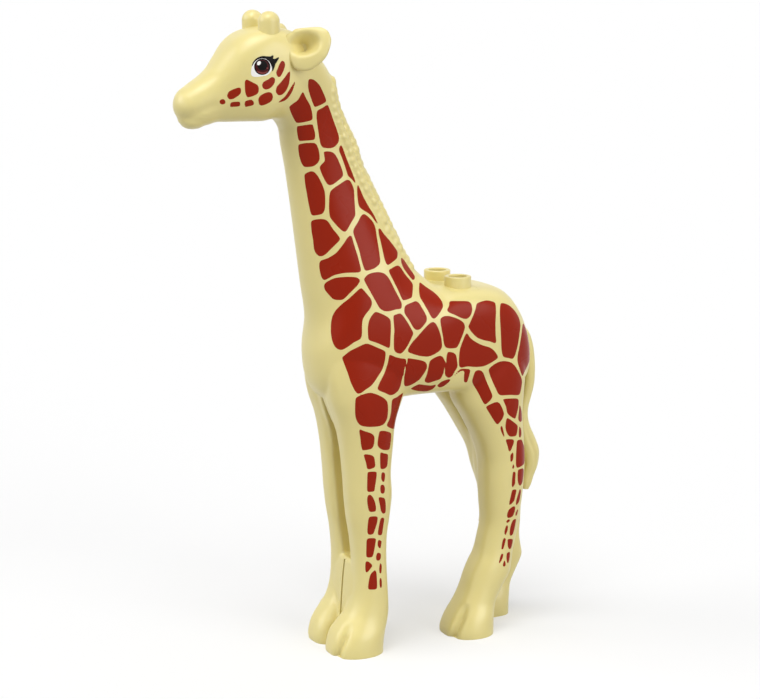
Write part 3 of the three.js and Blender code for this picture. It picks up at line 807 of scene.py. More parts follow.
CHEEK_SPOTS = [
    [(219.5, 101), (221.5, 99.3), (224, 99.3), (225.6, 101.5), (224.8, 103.8), (222.3, 104.6), (220, 103.6)],
    [(227.2, 95), (229, 91.5), (234, 89), (239, 87.5), (241, 89), (240.8, 93), (238, 96), (233, 99),
     (229.5, 99.3), (227.4, 97.2)],
    [(230.5, 103.4), (232, 102.1), (236, 101.7), (239.8, 101.9), (239.7, 106), (234, 106.8), (230.2, 106.8)],
    [(245, 81), (247, 79.5), (250, 81), (254, 83), (257.5, 85), (258.8, 88), (258.5, 92), (256.5, 94.5),
     (252, 96.5), (248, 97.3), (246.2, 95.7), (245, 91), (244.8, 85)],
    [(245, 101.7), (248, 100.3), (251, 99.5), (253.3, 101), (254, 104), (252, 105.6), (248, 106.5),
     (244.8, 106.8)],
    [(262, 85.5), (263.5, 82), (268, 79.5), (271.5, 77.1), (274.2, 77.6), (275.2, 80.2), (274, 84),
     (270.5, 88), (266.5, 89.6), (263.4, 88.7)],
    [(258.3, 99.5), (260, 96), (265, 93), (269, 92), (271.8, 93.2), (273, 97), (271.5, 101), (267, 104),
     (262, 105.6), (259.3, 104.6)],
    [(276.1, 73), (277.5, 69), (279.5, 64), (282, 60.7), (284.2, 61.6), (285.2, 64.4), (284.5, 68),
     (283, 72), (280.5, 76.4), (278, 77)],
    [(289.8, 70.5), (290, 77), (289, 84), (286.5, 90), (283, 94), (280, 95.4), (277, 94.2), (275.8, 91),
     (277, 86.5), (281, 82), (285, 77)],
    [(295.8, 79.5), (294.5, 85), (292, 92), (288, 98), (284, 101), (278, 102.8), (280.5, 100.3),
     (285, 96.5), (288.5, 91.3), (292.3, 85)],
]
NECK_SPOTS = [
    [(309, 79.3), (314, 79.8), (319.5, 85), (323, 92), (326, 101.5), (316, 106.8), (313.5, 105), (309, 92),
     (308, 85)],
    [(302.7, 92), (306, 98), (310, 105), (312, 112), (312.2, 119.5), (305, 122), (297.5, 123), (295, 121),
     (291.5, 114), (289.3, 107.5), (291.5, 104.7), (298, 99.8)],
    [(297, 127), (299, 126), (311, 124.3), (313, 125.5), (315, 133), (315, 138), (313, 140), (300, 141),
     (298.4, 139.5), (297, 132)],
    [(327.5, 105), (330, 110), (333, 119), (337, 130), (339, 137), (338.5, 142), (335, 146.5), (330, 148.3),
     (323, 147.5), (320.5, 144), (319, 136), (317.5, 126), (316.5, 117), (317, 111.5), (319, 109.5),
     (323, 107.5)],
    [(298.5, 145), (300.5, 144), (306, 143), (314, 143), (317, 145.2), (319, 151), (319.7, 158),
     (318.3, 162.3), (314, 166), (309, 167), (304, 166.6), (301, 162), (299, 155), (298.2, 148.5)],
    [(324, 152), (328, 151.3), (333, 152.5), (336.5, 156.5), (340, 164), (342.5, 171), (343, 175.5),
     (340.6, 178.7), (333, 184.4), (328.5, 185), (325.5, 181.5), (322, 174.5), (319.7, 167.7), (321, 165),
     (324.6, 161), (324.4, 157)],
    [(341, 145), (342.8, 148), (346, 157), (350, 167), (355, 180), (355, 183), (352, 179.5), (348, 175.5),
     (345.5, 168), (342, 158), (339.2, 151), (339.4, 147.5)],
    [(304.5, 175), (306.8, 172.8), (311, 171.3), (314.5, 172.2), (318.5, 177), (322.5, 185), (324.8, 192),
     (325.3, 200), (324.8, 209.5), (321.8, 214), (313.3, 215.6), (310.8, 213.3), (309, 206), (307, 195),
     (305, 183)],
    [(346, 180.1), (349.5, 180.3), (352, 184), (354, 190), (354.5, 200), (355.2, 210), (355, 216), (351, 223),
     (346.5, 230.8), (343.5, 231.6), (339, 228), (334, 222.5), (330, 217), (329, 209), (329.2, 198),
     (330.3, 191.7), (334, 188), (340, 184)],
    [(358, 185), (360.5, 190), (364, 198), (369, 207), (374, 215), (378, 224), (375, 221), (370, 214.5),
     (363, 210), (359.5, 207), (358, 202), (357.3, 195), (357.1, 188)],
    [(311, 222.3), (313.5, 220), (320, 219), (325, 219.5), (328.5, 222), (333, 229), (338, 235), (340, 238.6),
     (338.8, 241.3), (333, 247), (326, 254), (322.3, 256.1), (319, 256), (316, 253.5), (314, 249),
     (313, 240), (311.5, 231)],
    [(364, 214), (368, 216.5), (373, 222), (375.5, 228), (377, 238), (379, 250), (380.2, 260), (379.3, 264.3),
     (375, 268), (370, 270), (366.5, 270.7), (364.5, 269.4), (362, 262), (359, 250), (356, 241), (353.3, 233),
     (354, 228.5), (358, 222), (361, 216)],
    [(378.5, 229.2), (380.3, 228.6), (384, 234), (390, 241), (396, 249), (397.7, 252.7), (397, 258),
     (394, 261), (388.5, 264.9), (386.3, 263.8), (384.5, 259), (382.5, 250), (380.5, 241), (378.8, 234)],
    [(350.3, 235.3), (352, 237.3), (354.5, 246), (358, 257), (360.5, 267), (360.8, 271), (358, 272.5),
     (345, 273), (335, 275), (330, 277.5), (325.5, 279.9), (323, 279.4), (321, 276), (319.3, 268),
     (319.4, 263), (321.3, 260.4), (328, 258), (336, 253), (343, 244.5), (347, 238.5)],
    [(401.3, 257.7), (404, 260), (408, 266), (413, 273), (415, 277), (414, 279.7), (412.3, 279.7),
     (408, 274.5), (403.5, 268), (401.2, 262)],
]
BODY_SPOTS = [
    [(324, 285.5), (326, 282.5), (331, 279.5), (337, 277.6), (348, 276.8), (356, 277.3), (359.3, 279),
     (359.8, 281.3), (357, 286), (351, 292), (345, 298), (341.8, 299.9), (337, 300), (333, 299), (329, 295),
     (325, 290)],
    [(360.5, 288.2), (363, 289.3), (367, 294), (371, 299), (372, 304), (370, 309), (366, 314), (363, 319),
     (362, 326), (362, 334), (360.3, 339), (354, 342.5), (347, 347.5), (342, 349.9), (338, 349.3),
     (334.5, 346), (332, 340), (330.8, 332), (331, 323), (332.5, 316), (336, 310), (342, 304), (349, 298.5),
     (356, 292)],
    [(364.1, 279.3), (367, 275.3), (371, 273.1), (378, 272), (384, 273.3), (388, 277), (392, 284), (396, 292),
     (400, 299.5), (401.8, 304), (401, 308.5), (396, 309.5), (389, 311.3), (384, 311), (379.5, 308),
     (376, 302), (371, 293), (366, 284)],
    [(388.9, 271), (392, 268), (397.3, 265.5), (400.3, 267), (405, 274), (410, 280), (412.8, 284.3),
     (412.8, 290), (412, 296.7), (409.8, 298.6), (403.7, 300.4), (402, 299), (398, 290), (393, 280)],
    [(375.5, 312), (381, 313.5), (387, 316.5), (390.4, 320), (391, 328), (390.5, 339), (390, 346),
     (388.8, 348.1), (385, 346.5), (377, 343), (369.7, 340.5), (368.2, 338), (367.8, 328), (369, 321),
     (371.5, 316)],
    [(393.4, 316.7), (396, 314.6), (400, 313.4), (403, 315.7), (408, 323), (412.5, 331), (413.2, 334),
     (411.5, 338), (408, 345), (404, 351), (400.5, 353.7), (396, 352.4), (394, 349), (393.8, 338),
     (394.3, 330)],
    [(404.6, 307.2), (407, 304.5), (412, 302.5), (415.7, 301.1), (419, 303), (421.5, 307), (425, 313),
     (426.8, 317.3), (426.5, 321.3), (424, 325), (420, 329.3), (416, 329.9), (413, 327), (409, 320),
     (404.6, 313.3)],
    [(419.5, 282.6), (421.3, 283.2), (427, 287.5), (433, 291.5), (438, 296), (442, 301.5), (443, 306.5),
     (441, 311), (437.5, 316), (434.3, 318.7), (431.5, 317.3), (428, 311), (424, 304), (420, 297),
     (419, 290)],
    [(450, 301.3), (458, 301), (468, 301.3), (471.3, 304), (472.3, 310), (470.5, 315.5), (467, 318.8),
     (462, 318.3), (455, 315), (449, 312.5), (447.2, 310), (449, 306)],
    [(433.3, 321.9), (436, 324), (439, 330), (441.3, 338), (442, 346), (440, 350.5), (434, 354.5),
     (428, 356.6), (420, 356), (413, 354), (408.2, 351.8), (408.7, 348), (412.5, 342), (418, 336),
     (425, 328), (430, 323.2)],
    [(441, 318.2), (444.3, 316.2), (449, 316), (456, 318), (461, 320.5), (464, 323.3), (465, 327),
     (464, 331.3), (461.5, 338), (459, 344), (456.3, 347.8), (450, 348.5), (445.7, 347.3), (444, 344),
     (443, 337), (441.5, 329), (440.3, 321)],
    [(476.7, 304), (480, 302), (486, 300.4), (491, 301), (495.3, 303.2), (496, 312), (495.5, 324),
     (495.7, 335), (496.2, 341.3), (494.7, 343.3), (490, 341.5), (483, 340), (477, 337.5), (471.5, 332),
     (468.4, 327), (469.7, 323.5), (473, 316), (475.5, 309)],
    [(500.7, 303.7), (505, 303.5), (510, 306), (515, 311), (519, 318), (520.5, 325), (519.5, 334),
     (518, 344), (515.5, 354), (512.8, 358.7), (508, 358), (503.3, 356.6), (501.5, 350), (501, 338),
     (500.3, 325), (499.8, 312)],
    [(466.5, 333.2), (470, 337.5), (475, 341.5), (482, 345), (490, 347.5), (494, 350.5), (497.3, 355),
     (497.7, 358), (494, 361), (488, 364.5), (483, 366.4), (476, 367), (468, 366.5), (460.5, 367.3),
     (459, 365), (459, 357), (459.8, 350), (462, 343)],
    [(523, 323.5), (526, 329), (530, 342), (531, 352), (529, 362), (524.5, 372), (522.3, 376), (520, 370),
     (517.6, 362), (517.6, 356), (519.5, 346), (521.5, 334)],
    [(389.3, 355.5), (391, 355), (395, 356.8), (401, 358.3), (405.8, 359.2), (405.7, 364), (404, 371),
     (402, 379), (400.5, 386), (398, 391), (394, 394.3), (390, 395.2), (385, 393), (379, 390.5),
     (377.6, 388), (380, 382), (384, 374), (387.5, 364)],
    [(408, 358.3), (414, 359), (421, 360.3), (425.3, 362), (427, 365.3), (426, 370), (423, 375), (419, 380),
     (412, 384.5), (406, 386.4), (404.1, 384.3), (404.3, 376), (406, 368), (407.4, 361)],
    [(342.2, 358), (344.3, 355.5), (350, 351), (358, 347), (365, 343.9), (369, 344), (376, 347), (383, 350),
     (385.6, 352.6), (385, 360), (382.5, 369), (378, 376.5), (372, 385), (366, 389.5), (361, 393),
     (357.8, 393.6), (355, 391), (351, 383), (348, 374), (345, 366)],
    [(356, 398), (360, 395.5), (366, 393.5), (371, 392.8), (377, 394.5), (383, 397.5), (387, 401.2),
     (388, 406), (388, 413), (387, 419), (384, 424), (379, 426.3), (370, 427), (362, 426), (358, 423),
     (355.5, 417), (355, 409), (355.2, 402)],
    [(403, 393), (401, 400), (398.5, 410), (396, 420), (394, 428.5), (390, 428), (387, 426), (387, 424.3),
     (389.5, 419), (391, 412), (391.5, 405), (392.5, 399.5), (397, 397)],
    [(430, 361), (435, 357.5), (440, 355.7), (443, 357.2), (445, 362), (444.5, 368), (443, 374),
     (440.3, 379), (435, 381), (429, 382.9), (425.7, 382.3), (424.7, 380), (427, 374), (428.5, 367)],
    [(447.5, 352.8), (449, 351.9), (453, 352.5), (456, 355), (457, 360), (457.3, 367), (455, 371),
     (452, 376), (449, 377.7), (446, 376.3), (444.8, 373), (446, 365), (446.5, 357)],
    [(411, 388.5), (415, 386), (419, 384.3), (425, 385), (431, 385.5), (436, 384.6), (435, 386.8),
     (432, 389.5), (426, 391.5), (418, 391), (412, 389.5)],
    [(437.3, 385.8), (441, 382), (447, 379.5), (450.5, 379.3), (449, 382), (444, 386), (440, 387.5)],
    [(453, 377.3), (455, 374.5), (458, 371), (461, 369), (465, 368.7), (470, 369.5), (469.8, 373),
     (468.5, 378), (467, 382), (465.5, 382.5), (464, 381.5), (464, 376), (464.3, 371.8), (462, 370.8),
     (458, 373)],
    [(475.1, 371.7), (478, 370.1), (481, 370.6), (483.5, 373.3), (486, 380), (489, 387), (492, 394),
     (492.4, 396.7), (491, 399.5), (487, 403.5), (484.6, 404.3), (482, 400.5), (478, 392.5), (473.5, 385),
     (472.2, 381.5), (473, 377)],
    [(488.7, 370), (492, 366), (498, 362.2), (504, 361), (510, 362), (514, 364.7), (517, 369), (520, 374.5),
     (522, 380.5), (521.5, 387), (520, 393.6), (517.5, 395.2), (510, 395), (501, 395.4), (498, 393.3),
     (495, 387), (491, 378)],
]
FRONT_LEG_SPOTS = [
    [(359.3, 429.6), (364, 431), (371, 433.2), (374.2, 436.3), (374.5, 441), (373.5, 446), (371, 449),
     (365, 450.3), (362.5, 450.2), (361, 445), (360.3, 438)],
    [(380, 431.2), (384, 430.8), (389, 432), (391.2, 433.7), (391, 440), (389.8, 448), (388, 450),
     (383, 450), (379.5, 448), (377.6, 445), (378, 439), (379, 433.5)],
    [(364, 454.7), (371, 455), (373.8, 456.7), (374.8, 460), (375.2, 466), (373.5, 468), (369, 469.4),
     (367, 468.3), (366, 463)],
    [(380.3, 453.1), (384, 453.3), (387.9, 454.6), (387.8, 461), (387, 466.5), (384, 469), (381.5, 469),
     (380.3, 467)],
    [(367.6, 472.9), (370, 471.8), (375, 471.6), (376.7, 472.6), (376.3, 479), (375, 487), (374, 491.3),
     (368.5, 491.9), (367.1, 490), (367.2, 481)],
    [(381.6, 473.2), (383.3, 472.1), (385, 473.7), (385, 478), (384, 482), (382.5, 481.5), (381.2, 478.5)],
    [(368, 495.7), (370, 494.6), (372.5, 496.6), (375, 502), (376, 507), (375.4, 511.3), (370, 511.9),
     (368.5, 509.5), (367.3, 503), (367.3, 498)],
    [(380.5, 486), (382, 484.6), (384, 485.2), (385, 488.5), (384.5, 492.3), (383, 493.8), (381, 493),
     (380.3, 490)],
    [(378.7, 497.7), (383, 497.6), (385, 499.2), (385.8, 505), (385.5, 512.3), (383, 513.7), (381, 511),
     (380, 506)],
    [(368.5, 519), (370.3, 516.7), (376, 516.3), (377.7, 517.6), (377, 523), (375, 529.5), (373.3, 533.8),
     (370, 534.8), (367.5, 533.4), (367.5, 527)],
    [(381, 518.3), (383, 517.5), (384.2, 519.2), (383.3, 526), (382.2, 533.8), (380.5, 535.3), (377.9, 534.3),
     (378.5, 528.5), (380, 521)],
    [(366.8, 539.7), (370, 538.2), (375.4, 538.4), (375.8, 541), (374.5, 549), (372.5, 556.6), (368, 557.6),
     (366.3, 556), (366.3, 547)],
    [(378.5, 540), (381.5, 541), (381, 546), (380, 548.8), (378, 546.5), (377.6, 543)],
    [(377.5, 552.8), (380.7, 553.6), (380.8, 558), (379, 560.6), (376.5, 560.2), (376.1, 556.5)],
    [(366, 561.5), (368.5, 561.6), (371.5, 564.2), (372.3, 566), (369.5, 570), (366.5, 572.8),
     (365.4, 570.5), (365.3, 565)],
    [(380.7, 562.2), (381.8, 566), (381.3, 572.8), (379.6, 573.2), (379.2, 569), (379.8, 564.5)],
    [(373.7, 571), (375.4, 570.2), (376.5, 573), (377, 580), (377.1, 587), (375.8, 589.3), (369.7, 589.6),
     (368.1, 588), (368.8, 581), (370.5, 574.5)],
    [(381, 577.2), (381.8, 581), (381.8, 586.8), (380.5, 587.9), (379.6, 585), (379.6, 579.5)],
]
HIND_LEG_SPOTS = [
    [(486.1, 407.5), (488, 405.5), (494, 402.6), (498, 402.1), (500.5, 404.5), (503, 410), (504, 414.5),
     (502, 419.5), (498.5, 423.8), (496.6, 424.1), (493.5, 420), (489.5, 413.5)],
    [(503.2, 399.4), (508, 398.6), (516, 398.4), (518.4, 399.6), (518.7, 403), (518, 409), (516.5, 415),
     (515.4, 418.3), (513.8, 418.4), (510, 416), (507.3, 413), (506, 407), (504, 402)],
    [(519.7, 405), (521.5, 411), (522, 420), (520.5, 422), (519.3, 421.3), (518.3, 419), (518.7, 413)],
    [(507, 418.2), (509, 418.6), (513, 421.5), (517, 424.8), (517.8, 427.3), (517, 433), (515.8, 435.9),
     (512, 436.6), (509, 436), (506.5, 432), (505.4, 427), (506, 421)],
    [(500.5, 426.7), (502, 426), (503, 429), (504.3, 435), (504.2, 437.1), (502.5, 434.5), (500.7, 430)],
    [(519.5, 426.5), (521, 429), (521.5, 434), (520.5, 437.3), (519, 436.9), (518.8, 431)],
    [(506, 439.7), (513, 439.4), (514, 442), (512.5, 446.5), (510.5, 451), (509, 451.4), (507.5, 446)],
    [(517, 441.2), (519, 439.8), (521.5, 439.7), (523, 443), (525, 449.5), (525, 456), (524.2, 463),
     (522, 465.8), (517.5, 467.8), (516, 465.5), (516, 455), (516.5, 447)],
    [(511, 454.2), (513, 452.2), (513.5, 455.5), (513, 459.5), (511.5, 462.1), (510.5, 461.2),
     (510.3, 456.5)],
    [(512.5, 466), (513.8, 464), (514.3, 467), (513, 469.2), (512, 468.8)],
    [(518, 470.6), (520, 469.1), (523, 468.5), (523.8, 470.7), (523.3, 477), (522.2, 482.8), (520, 485.8),
     (518.3, 483.5), (517.5, 478)],
    [(513, 472.2), (515, 471.9), (515.6, 473.2), (515.3, 479), (515, 483.8), (512.8, 487.2), (511.7, 486.4),
     (512, 480)],
    [(512.3, 490.2), (516, 489.5), (516.3, 491.5), (515, 497.5), (514, 501), (511.5, 503.8), (509.4, 505.2),
     (509.3, 502.5), (510.8, 496)],
    [(519.8, 489), (521, 491), (520.3, 496), (519.3, 501), (517, 504.8), (515.9, 504.2), (516.3, 500.5),
     (518, 494.5)],
    [(513, 506.5), (515.1, 506.7), (514.8, 511), (513, 515.8), (510, 517.8), (507.2, 517.3), (507.3, 513.5),
     (509, 509.5)],
    [(517.5, 509.2), (518, 510.5), (516.8, 515), (515.4, 515.9), (515.7, 513)],
    [(508, 519.5), (510, 519.5), (509.2, 521.8), (506.6, 523.3), (506.3, 521.5)],
    [(513.5, 519.7), (515.9, 519), (515.8, 521.5), (514.5, 528.5), (513, 533.8), (511, 535.8), (509.6, 534.5),
     (510, 529), (511.5, 523)],
    [(506, 526.2), (507.3, 525), (508, 526.7), (507.5, 530.5), (505.5, 535.3), (504.4, 534.8),
     (504.6, 530.5)],
    [(503.4, 538.7), (505, 537.7), (505.8, 539.2), (504.5, 545), (503, 549.3), (501.4, 549.3), (502, 543.5)],
    [(508, 539.2), (512.7, 539.2), (512.3, 543.5), (511, 548.1), (509, 549.1), (507.8, 546), (507.6, 541.5)],
    [(502, 553.2), (503.3, 554.2), (502.5, 558.5), (500.5, 562.3), (499.1, 563.7), (498.9, 562),
     (500.3, 556.5)],
    [(507, 553.2), (509.4, 551.8), (510, 554), (509.3, 559.5), (508.2, 563.1), (507, 562.4), (506.4, 557.5)],
    [(504.5, 560.3), (505.6, 563), (505.4, 565.8), (503.8, 566.8), (502.9, 565.8), (503.2, 563.3)],
]
SPOTS = CHEEK_SPOTS + NECK_SPOTS + BODY_SPOTS + FRONT_LEG_SPOTS + HIND_LEG_SPOTS


OUTLINE_ROUNDNESS = 0.4


def rounded_outline(corners, steps=5):
    """A closed smooth line through given points."""
    corners = np.array(corners, float)
    before, after, beyond = (np.roll(corners, shift, axis=0) for shift in (1, -1, -2))
    t = (np.arange(steps) / steps)[:, None, None]
    slope_in = (after - before) * OUTLINE_ROUNDNESS
    slope_out = (beyond - corners) * OUTLINE_ROUNDNESS
    return curve(corners, after, slope_in, slope_out, t).transpose(1, 0, 2).reshape(-1, 2)


def inside_by(places, line):
    """How far places lie inside a closed line; outside is negative."""
    start, end = line, np.roll(line, -1, axis=0)
    run = end - start
    distance = distance_to_lines(places, start, end)
    crosses = (start[:, 1] > places[:, None, 1]) != (end[:, 1] > places[:, None, 1])
    rise = np.where(np.abs(run[:, 1]) < GUARD, GUARD, run[:, 1])
    cut = start[:, 0] + (places[:, None, 1] - start[:, 1]) * run[:, 0] / rise
    inside = (crosses & (places[:, None, 0] < cut)).sum(1) % 2 == 1
    return np.where(inside, distance, -distance)


FAR_OUTSIDE = -4.0  # pixels
SEEN_LIFT = 0.05
SEEN_FACING = 0.01
SEEN_PAST_MIDDLE = 0.1
MIDDLE_MARGIN = 1e-6
CARRY_REACH = 0.5
PIXELS_PER_MM = FOCAL_PIXELS / DISTANCE


def seen_from_camera(points, normals, tree):
    """Which points of the left side the camera sees."""
    towards = np.array(EYE_POINT) - points
    towards /= np.linalg.norm(towards, axis=1, keepdims=True)
    facing = (normals * towards).sum(1) > SEEN_FACING
    seen = np.zeros(len(points), bool)
    for index in np.nonzero(facing & (points[:, 0] > -SEEN_PAST_MIDDLE))[0]:
        start = Vector(points[index] + normals[index] * SEEN_LIFT)
        seen[index] = tree.ray_cast(start, Vector(towards[index]))[0] is None
    return seen


def spot_field(points, triangles):
    """How far each point lies inside a spot, in pixels; outside is negative."""
    normals = normals_of(points, triangles)
    tree = BVHTree.FromPolygons(points.tolist(), triangles.tolist())
    seen = seen_from_camera(points, normals, tree)
    field = np.full(len(points), FAR_OUTSIDE)
    places = pixels(points)
    for corners in SPOTS:
        line = rounded_outline(corners)
        low, high = line.min(0) + FAR_OUTSIDE, line.max(0) - FAR_OUTSIDE
        near = np.nonzero(seen & (places > low).all(1) & (places < high).all(1))[0]
        if len(near):
            field[near] = np.maximum(field[near], inside_by(places[near], line))
    carry_round_edges(points, normals, seen, field)
    carry_to_right_side(points, triangles, field)
    return field


def carry_round_edges(points, normals, seen, field):
    """Spots that reach the outline close a little way beyond it."""
    known = np.nonzero(seen)[0]
    tree = KDTree(len(known))
    for place, index in enumerate(known):
        tree.insert(points[index], place)
    tree.balance()
    for index in np.nonzero(~seen & (normals[:, 0] > 0) & (points[:, 0] > 0))[0]:
        _, place, distance = tree.find(points[index])
        field[index] = max(FAR_OUTSIDE, field[known[place]] - distance * PIXELS_PER_MM)


def stride_share_at(height):
    """How much of the stride the hind leg has at a height."""
    heights = [row[0] * LEG_HEIGHT for row in HIND_LEG_SHARES]
    return np.interp(height, heights, [row[5] for row in HIND_LEG_SHARES])


def carry_to_right_side(points, triangles, field):
    """The right side has the same spots, with those of the hind leg moved back with it."""
    left = triangles[(points[triangles][:, :, 0] > -MIDDLE_MARGIN).all(1)]
    tree = BVHTree.FromPolygons(points.tolist(), left.tolist())
    right = np.nonzero(points[:, 0] < -MIDDLE_MARGIN)[0]
    mirrored = points[right] * [-1, 1, 1]
    hind = np.clip((mirrored[:, 1] - HIND_HOOF + HOOF_LENGTH) / HOOF_LENGTH, 0, 1)
    mirrored[:, 1] -= STRIDE * stride_share_at(mirrored[:, 2]) * hind
    for index, place in zip(right, mirrored):
        hit, _, face, distance = tree.find_nearest(Vector(place))
        a, b, c = (Vector(points[corner]) - hit for corner in left[face])
        areas = [b.cross(c).length, c.cross(a).length, a.cross(b).length]
        value = np.dot(areas, field[left[face]]) / max(sum(areas), GUARD)
        field[index] = max(FAR_OUTSIDE, value - max(0, distance - CARRY_REACH) * PIXELS_PER_MM)


LEAST_FIELD = 1e-6
CUT_LIMITS = (0.03, 0.97)


def divided(points, triangles, field):
    """Cuts triangles where field changes sign. Returns points, triangles, whether each
    triangle lies where field is positive, and the number of the triangle it comes from."""
    field = np.where(np.abs(field) < LEAST_FIELD, LEAST_FIELD, field)
    positive = field[triangles] > 0
    count = positive.sum(1)
    whole = (count == 0) | (count == 3)
    mixed, flags = triangles[~whole], positive[~whole]
    lone = np.where(flags.sum(1) == 1, flags.argmax(1), (~flags).argmax(1))
    rows = np.arange(len(mixed))
    a, b, c = (mixed[rows, (lone + step) % 3] for step in range(3))
    edges = np.sort(np.vstack([np.column_stack([a, b]), np.column_stack([a, c])]), axis=1)
    unique, inverse = np.unique(edges, axis=0, return_inverse=True)
    inverse = inverse.ravel() + len(points)
    ab, ac = inverse[:len(mixed)], inverse[len(mixed):]
    start, end = unique.T
    t = np.clip(field[start] / (field[start] - field[end]), *CUT_LIMITS)[:, None]
    cuts = points[start] * (1 - t) + points[end] * t
    tips = field[a] > 0
    new = np.vstack([
        triangles[whole], np.column_stack([a, ab, ac]),
        np.column_stack([ab, b, c]), np.column_stack([ab, c, ac]),
    ])
    inside = np.concatenate([count[whole] == 3, tips, ~tips, ~tips])
    cut_rows = np.nonzero(~whole)[0]
    source = np.concatenate([np.nonzero(whole)[0], cut_rows, cut_rows, cut_rows])
    return np.vstack([points, cuts]), new, inside, source


# Materials

MOTTLE = {"Scale": 90.0, "Detail": 3.0}
GRAIN = {"Scale": 2600.0, "Detail": 2.0}
GRAIN_STRENGTH = 0.15
GRAIN_DEPTH = 0.03


def linear(red, green, blue):
    """A colour of the photograph, 0 to 255, as linear values by the usual curve of screens."""
    values = [channel / 255 for channel in (red, green, blue)]
    return tuple(
        value / 12.92 if value <= 0.04045 else ((value + 0.055) / 1.055) ** 2.4 for value in values
    ) + (1.0,)


def node(tree, kind, **inputs):
    made = tree.nodes.new(kind)
    for name, value in inputs.items():
        made.inputs[name.replace("_", " ")].default_value = value
    return made


def plastic(name, light, dark, roughness, gloss):
    """Moulded or printed plastic with faint mottling between two colours of the photograph,
    uneven roughness and a fine grain."""
    material = bpy.data.materials.new(name)
    material.use_nodes = True
    tree = material.node_tree
    shader = tree.nodes["Principled BSDF"]
    shader.inputs["Specular IOR Level"].default_value = gloss
    place = node(tree, "ShaderNodeTexCoord")
    mottle = node(tree, "ShaderNodeTexNoise", **MOTTLE)
    tree.links.new(place.outputs["Object"], mottle.inputs["Vector"])
    mix = tree.nodes.new("ShaderNodeMix")
    mix.data_type = "RGBA"
    mix.inputs[6].default_value = linear(*light)
    mix.inputs[7].default_value = linear(*dark)
    tree.links.new(mottle.outputs["Fac"], mix.inputs[0])
    tree.links.new(mix.outputs[2], shader.inputs["Base Color"])
    uneven = node(tree, "ShaderNodeMapRange", To_Min=roughness[0], To_Max=roughness[1])
    tree.links.new(mottle.outputs["Fac"], uneven.inputs["Value"])
    tree.links.new(uneven.outputs["Result"], shader.inputs["Roughness"])
    fine = node(tree, "ShaderNodeTexNoise", **GRAIN)
    tree.links.new(place.outputs["Object"], fine.inputs["Vector"])
    bump = node(tree, "ShaderNodeBump", Strength=GRAIN_STRENGTH, Distance=GRAIN_DEPTH * MM)
    tree.links.new(fine.outputs["Fac"], bump.inputs["Height"])
    tree.links.new(bump.outputs["Normal"], shader.inputs["Normal"])
    return material


TAN_GLOW_SHARE = 0.08
TAN_GLOW_RADII = (1.0, 0.75, 0.3)
TAN_GLOW_REACH = 0.8


def tan_plastic():
    """The moulded plastic, which lets a little light through its surface."""
    material = plastic("tan_plastic", (225, 211, 141), (220, 205, 134), (0.3, 0.38), 0.62)
    shader = material.node_tree.nodes["Principled BSDF"]
    shader.inputs["Subsurface Weight"].default_value = TAN_GLOW_SHARE
    shader.inputs["Subsurface Radius"].default_value = TAN_GLOW_RADII
    shader.inputs["Subsurface Scale"].default_value = TAN_GLOW_REACH * MM
    return material


def spot_ink():
    return plastic("spot_ink", (152, 34, 6), (142, 31, 5), (0.24, 0.32), 0.12)


# White of the eye, also used for the glint on the pupil, which is a painted highlight.
def eye_white_and_painted_glint():
    return plastic("eye_white_and_painted_glint", (246, 244, 240), (240, 238, 234), (0.26, 0.34), 0.3)


def eye_black():
    return plastic("eye_black", (9, 6, 6), (13, 9, 9), (0.22, 0.3), 0.06)


def eye_brown():
    return plastic("eye_brown", (72, 16, 20), (62, 13, 17), (0.22, 0.3), 0.08)


# Painted reflection: a lighter red for the lower crescent of the iris and a small dot in it, colour that
# stands in for light on the eye.
def eye_painted_reflection():
    return plastic("eye_painted_reflection", (138, 66, 62), (126, 58, 54), (0.22, 0.3), 0.08)


TAN = tan_plastic()
INK = spot_ink()
EYE_WHITE_AND_PAINTED_GLINT = eye_white_and_painted_glint()
EYE_BLACK = eye_black()
EYE_BROWN = eye_brown()
EYE_PAINTED_REFLECTION = eye_painted_reflection()


# Pieces

def piece(name, points, faces, nodes, materials, zones=None):
    """A piece of the object, in place of some nodes of the frame."""
    obj = bpy.data.objects.new(name, mesh_of(name, in_frame(points), faces))
    bpy.context.collection.objects.link(obj)
    for material in materials:
        obj.data.materials.append(material)
    if zones is not None:
        obj.data.polygons.foreach_set("material_index", np.asarray(zones, np.int32))
    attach(obj, BODY)
    if nodes:
        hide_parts(*nodes)
    return obj


def sharpened(obj, angle):
    """Edges sharper than the angle show as edges."""
    obj.data.set_sharp_from_angle(angle=math.radians(angle))


SEAM = 0.05
CUT_RUN = 1.0
INSERT_DEPTH = 2.2
INSERT_REACH = 2.0
EDGE_ANGLE = 40
SKIN_EDGE_ANGLE = 50


def insert_outline(grow):
    """The block that the stud insert is cut from, wider by grow all round."""
    half_width, half_length = INSERT_WIDTH / 2 + grow, INSERT_LENGTH / 2 + grow
    low, high = BACK_HEIGHT - INSERT_DEPTH, BACK_HEIGHT + INSERT_REACH
    return block((-half_width, -half_length, low), (half_width, half_length, high))


def socket(side, hoof):
    radius = STUD_DIAMETER / 2
    profile = [(radius, -CUT_RUN), (radius, SOCKET_DEPTH)]
    return lathe(profile, (side * STUD_PITCH / 2, hoof, 0))


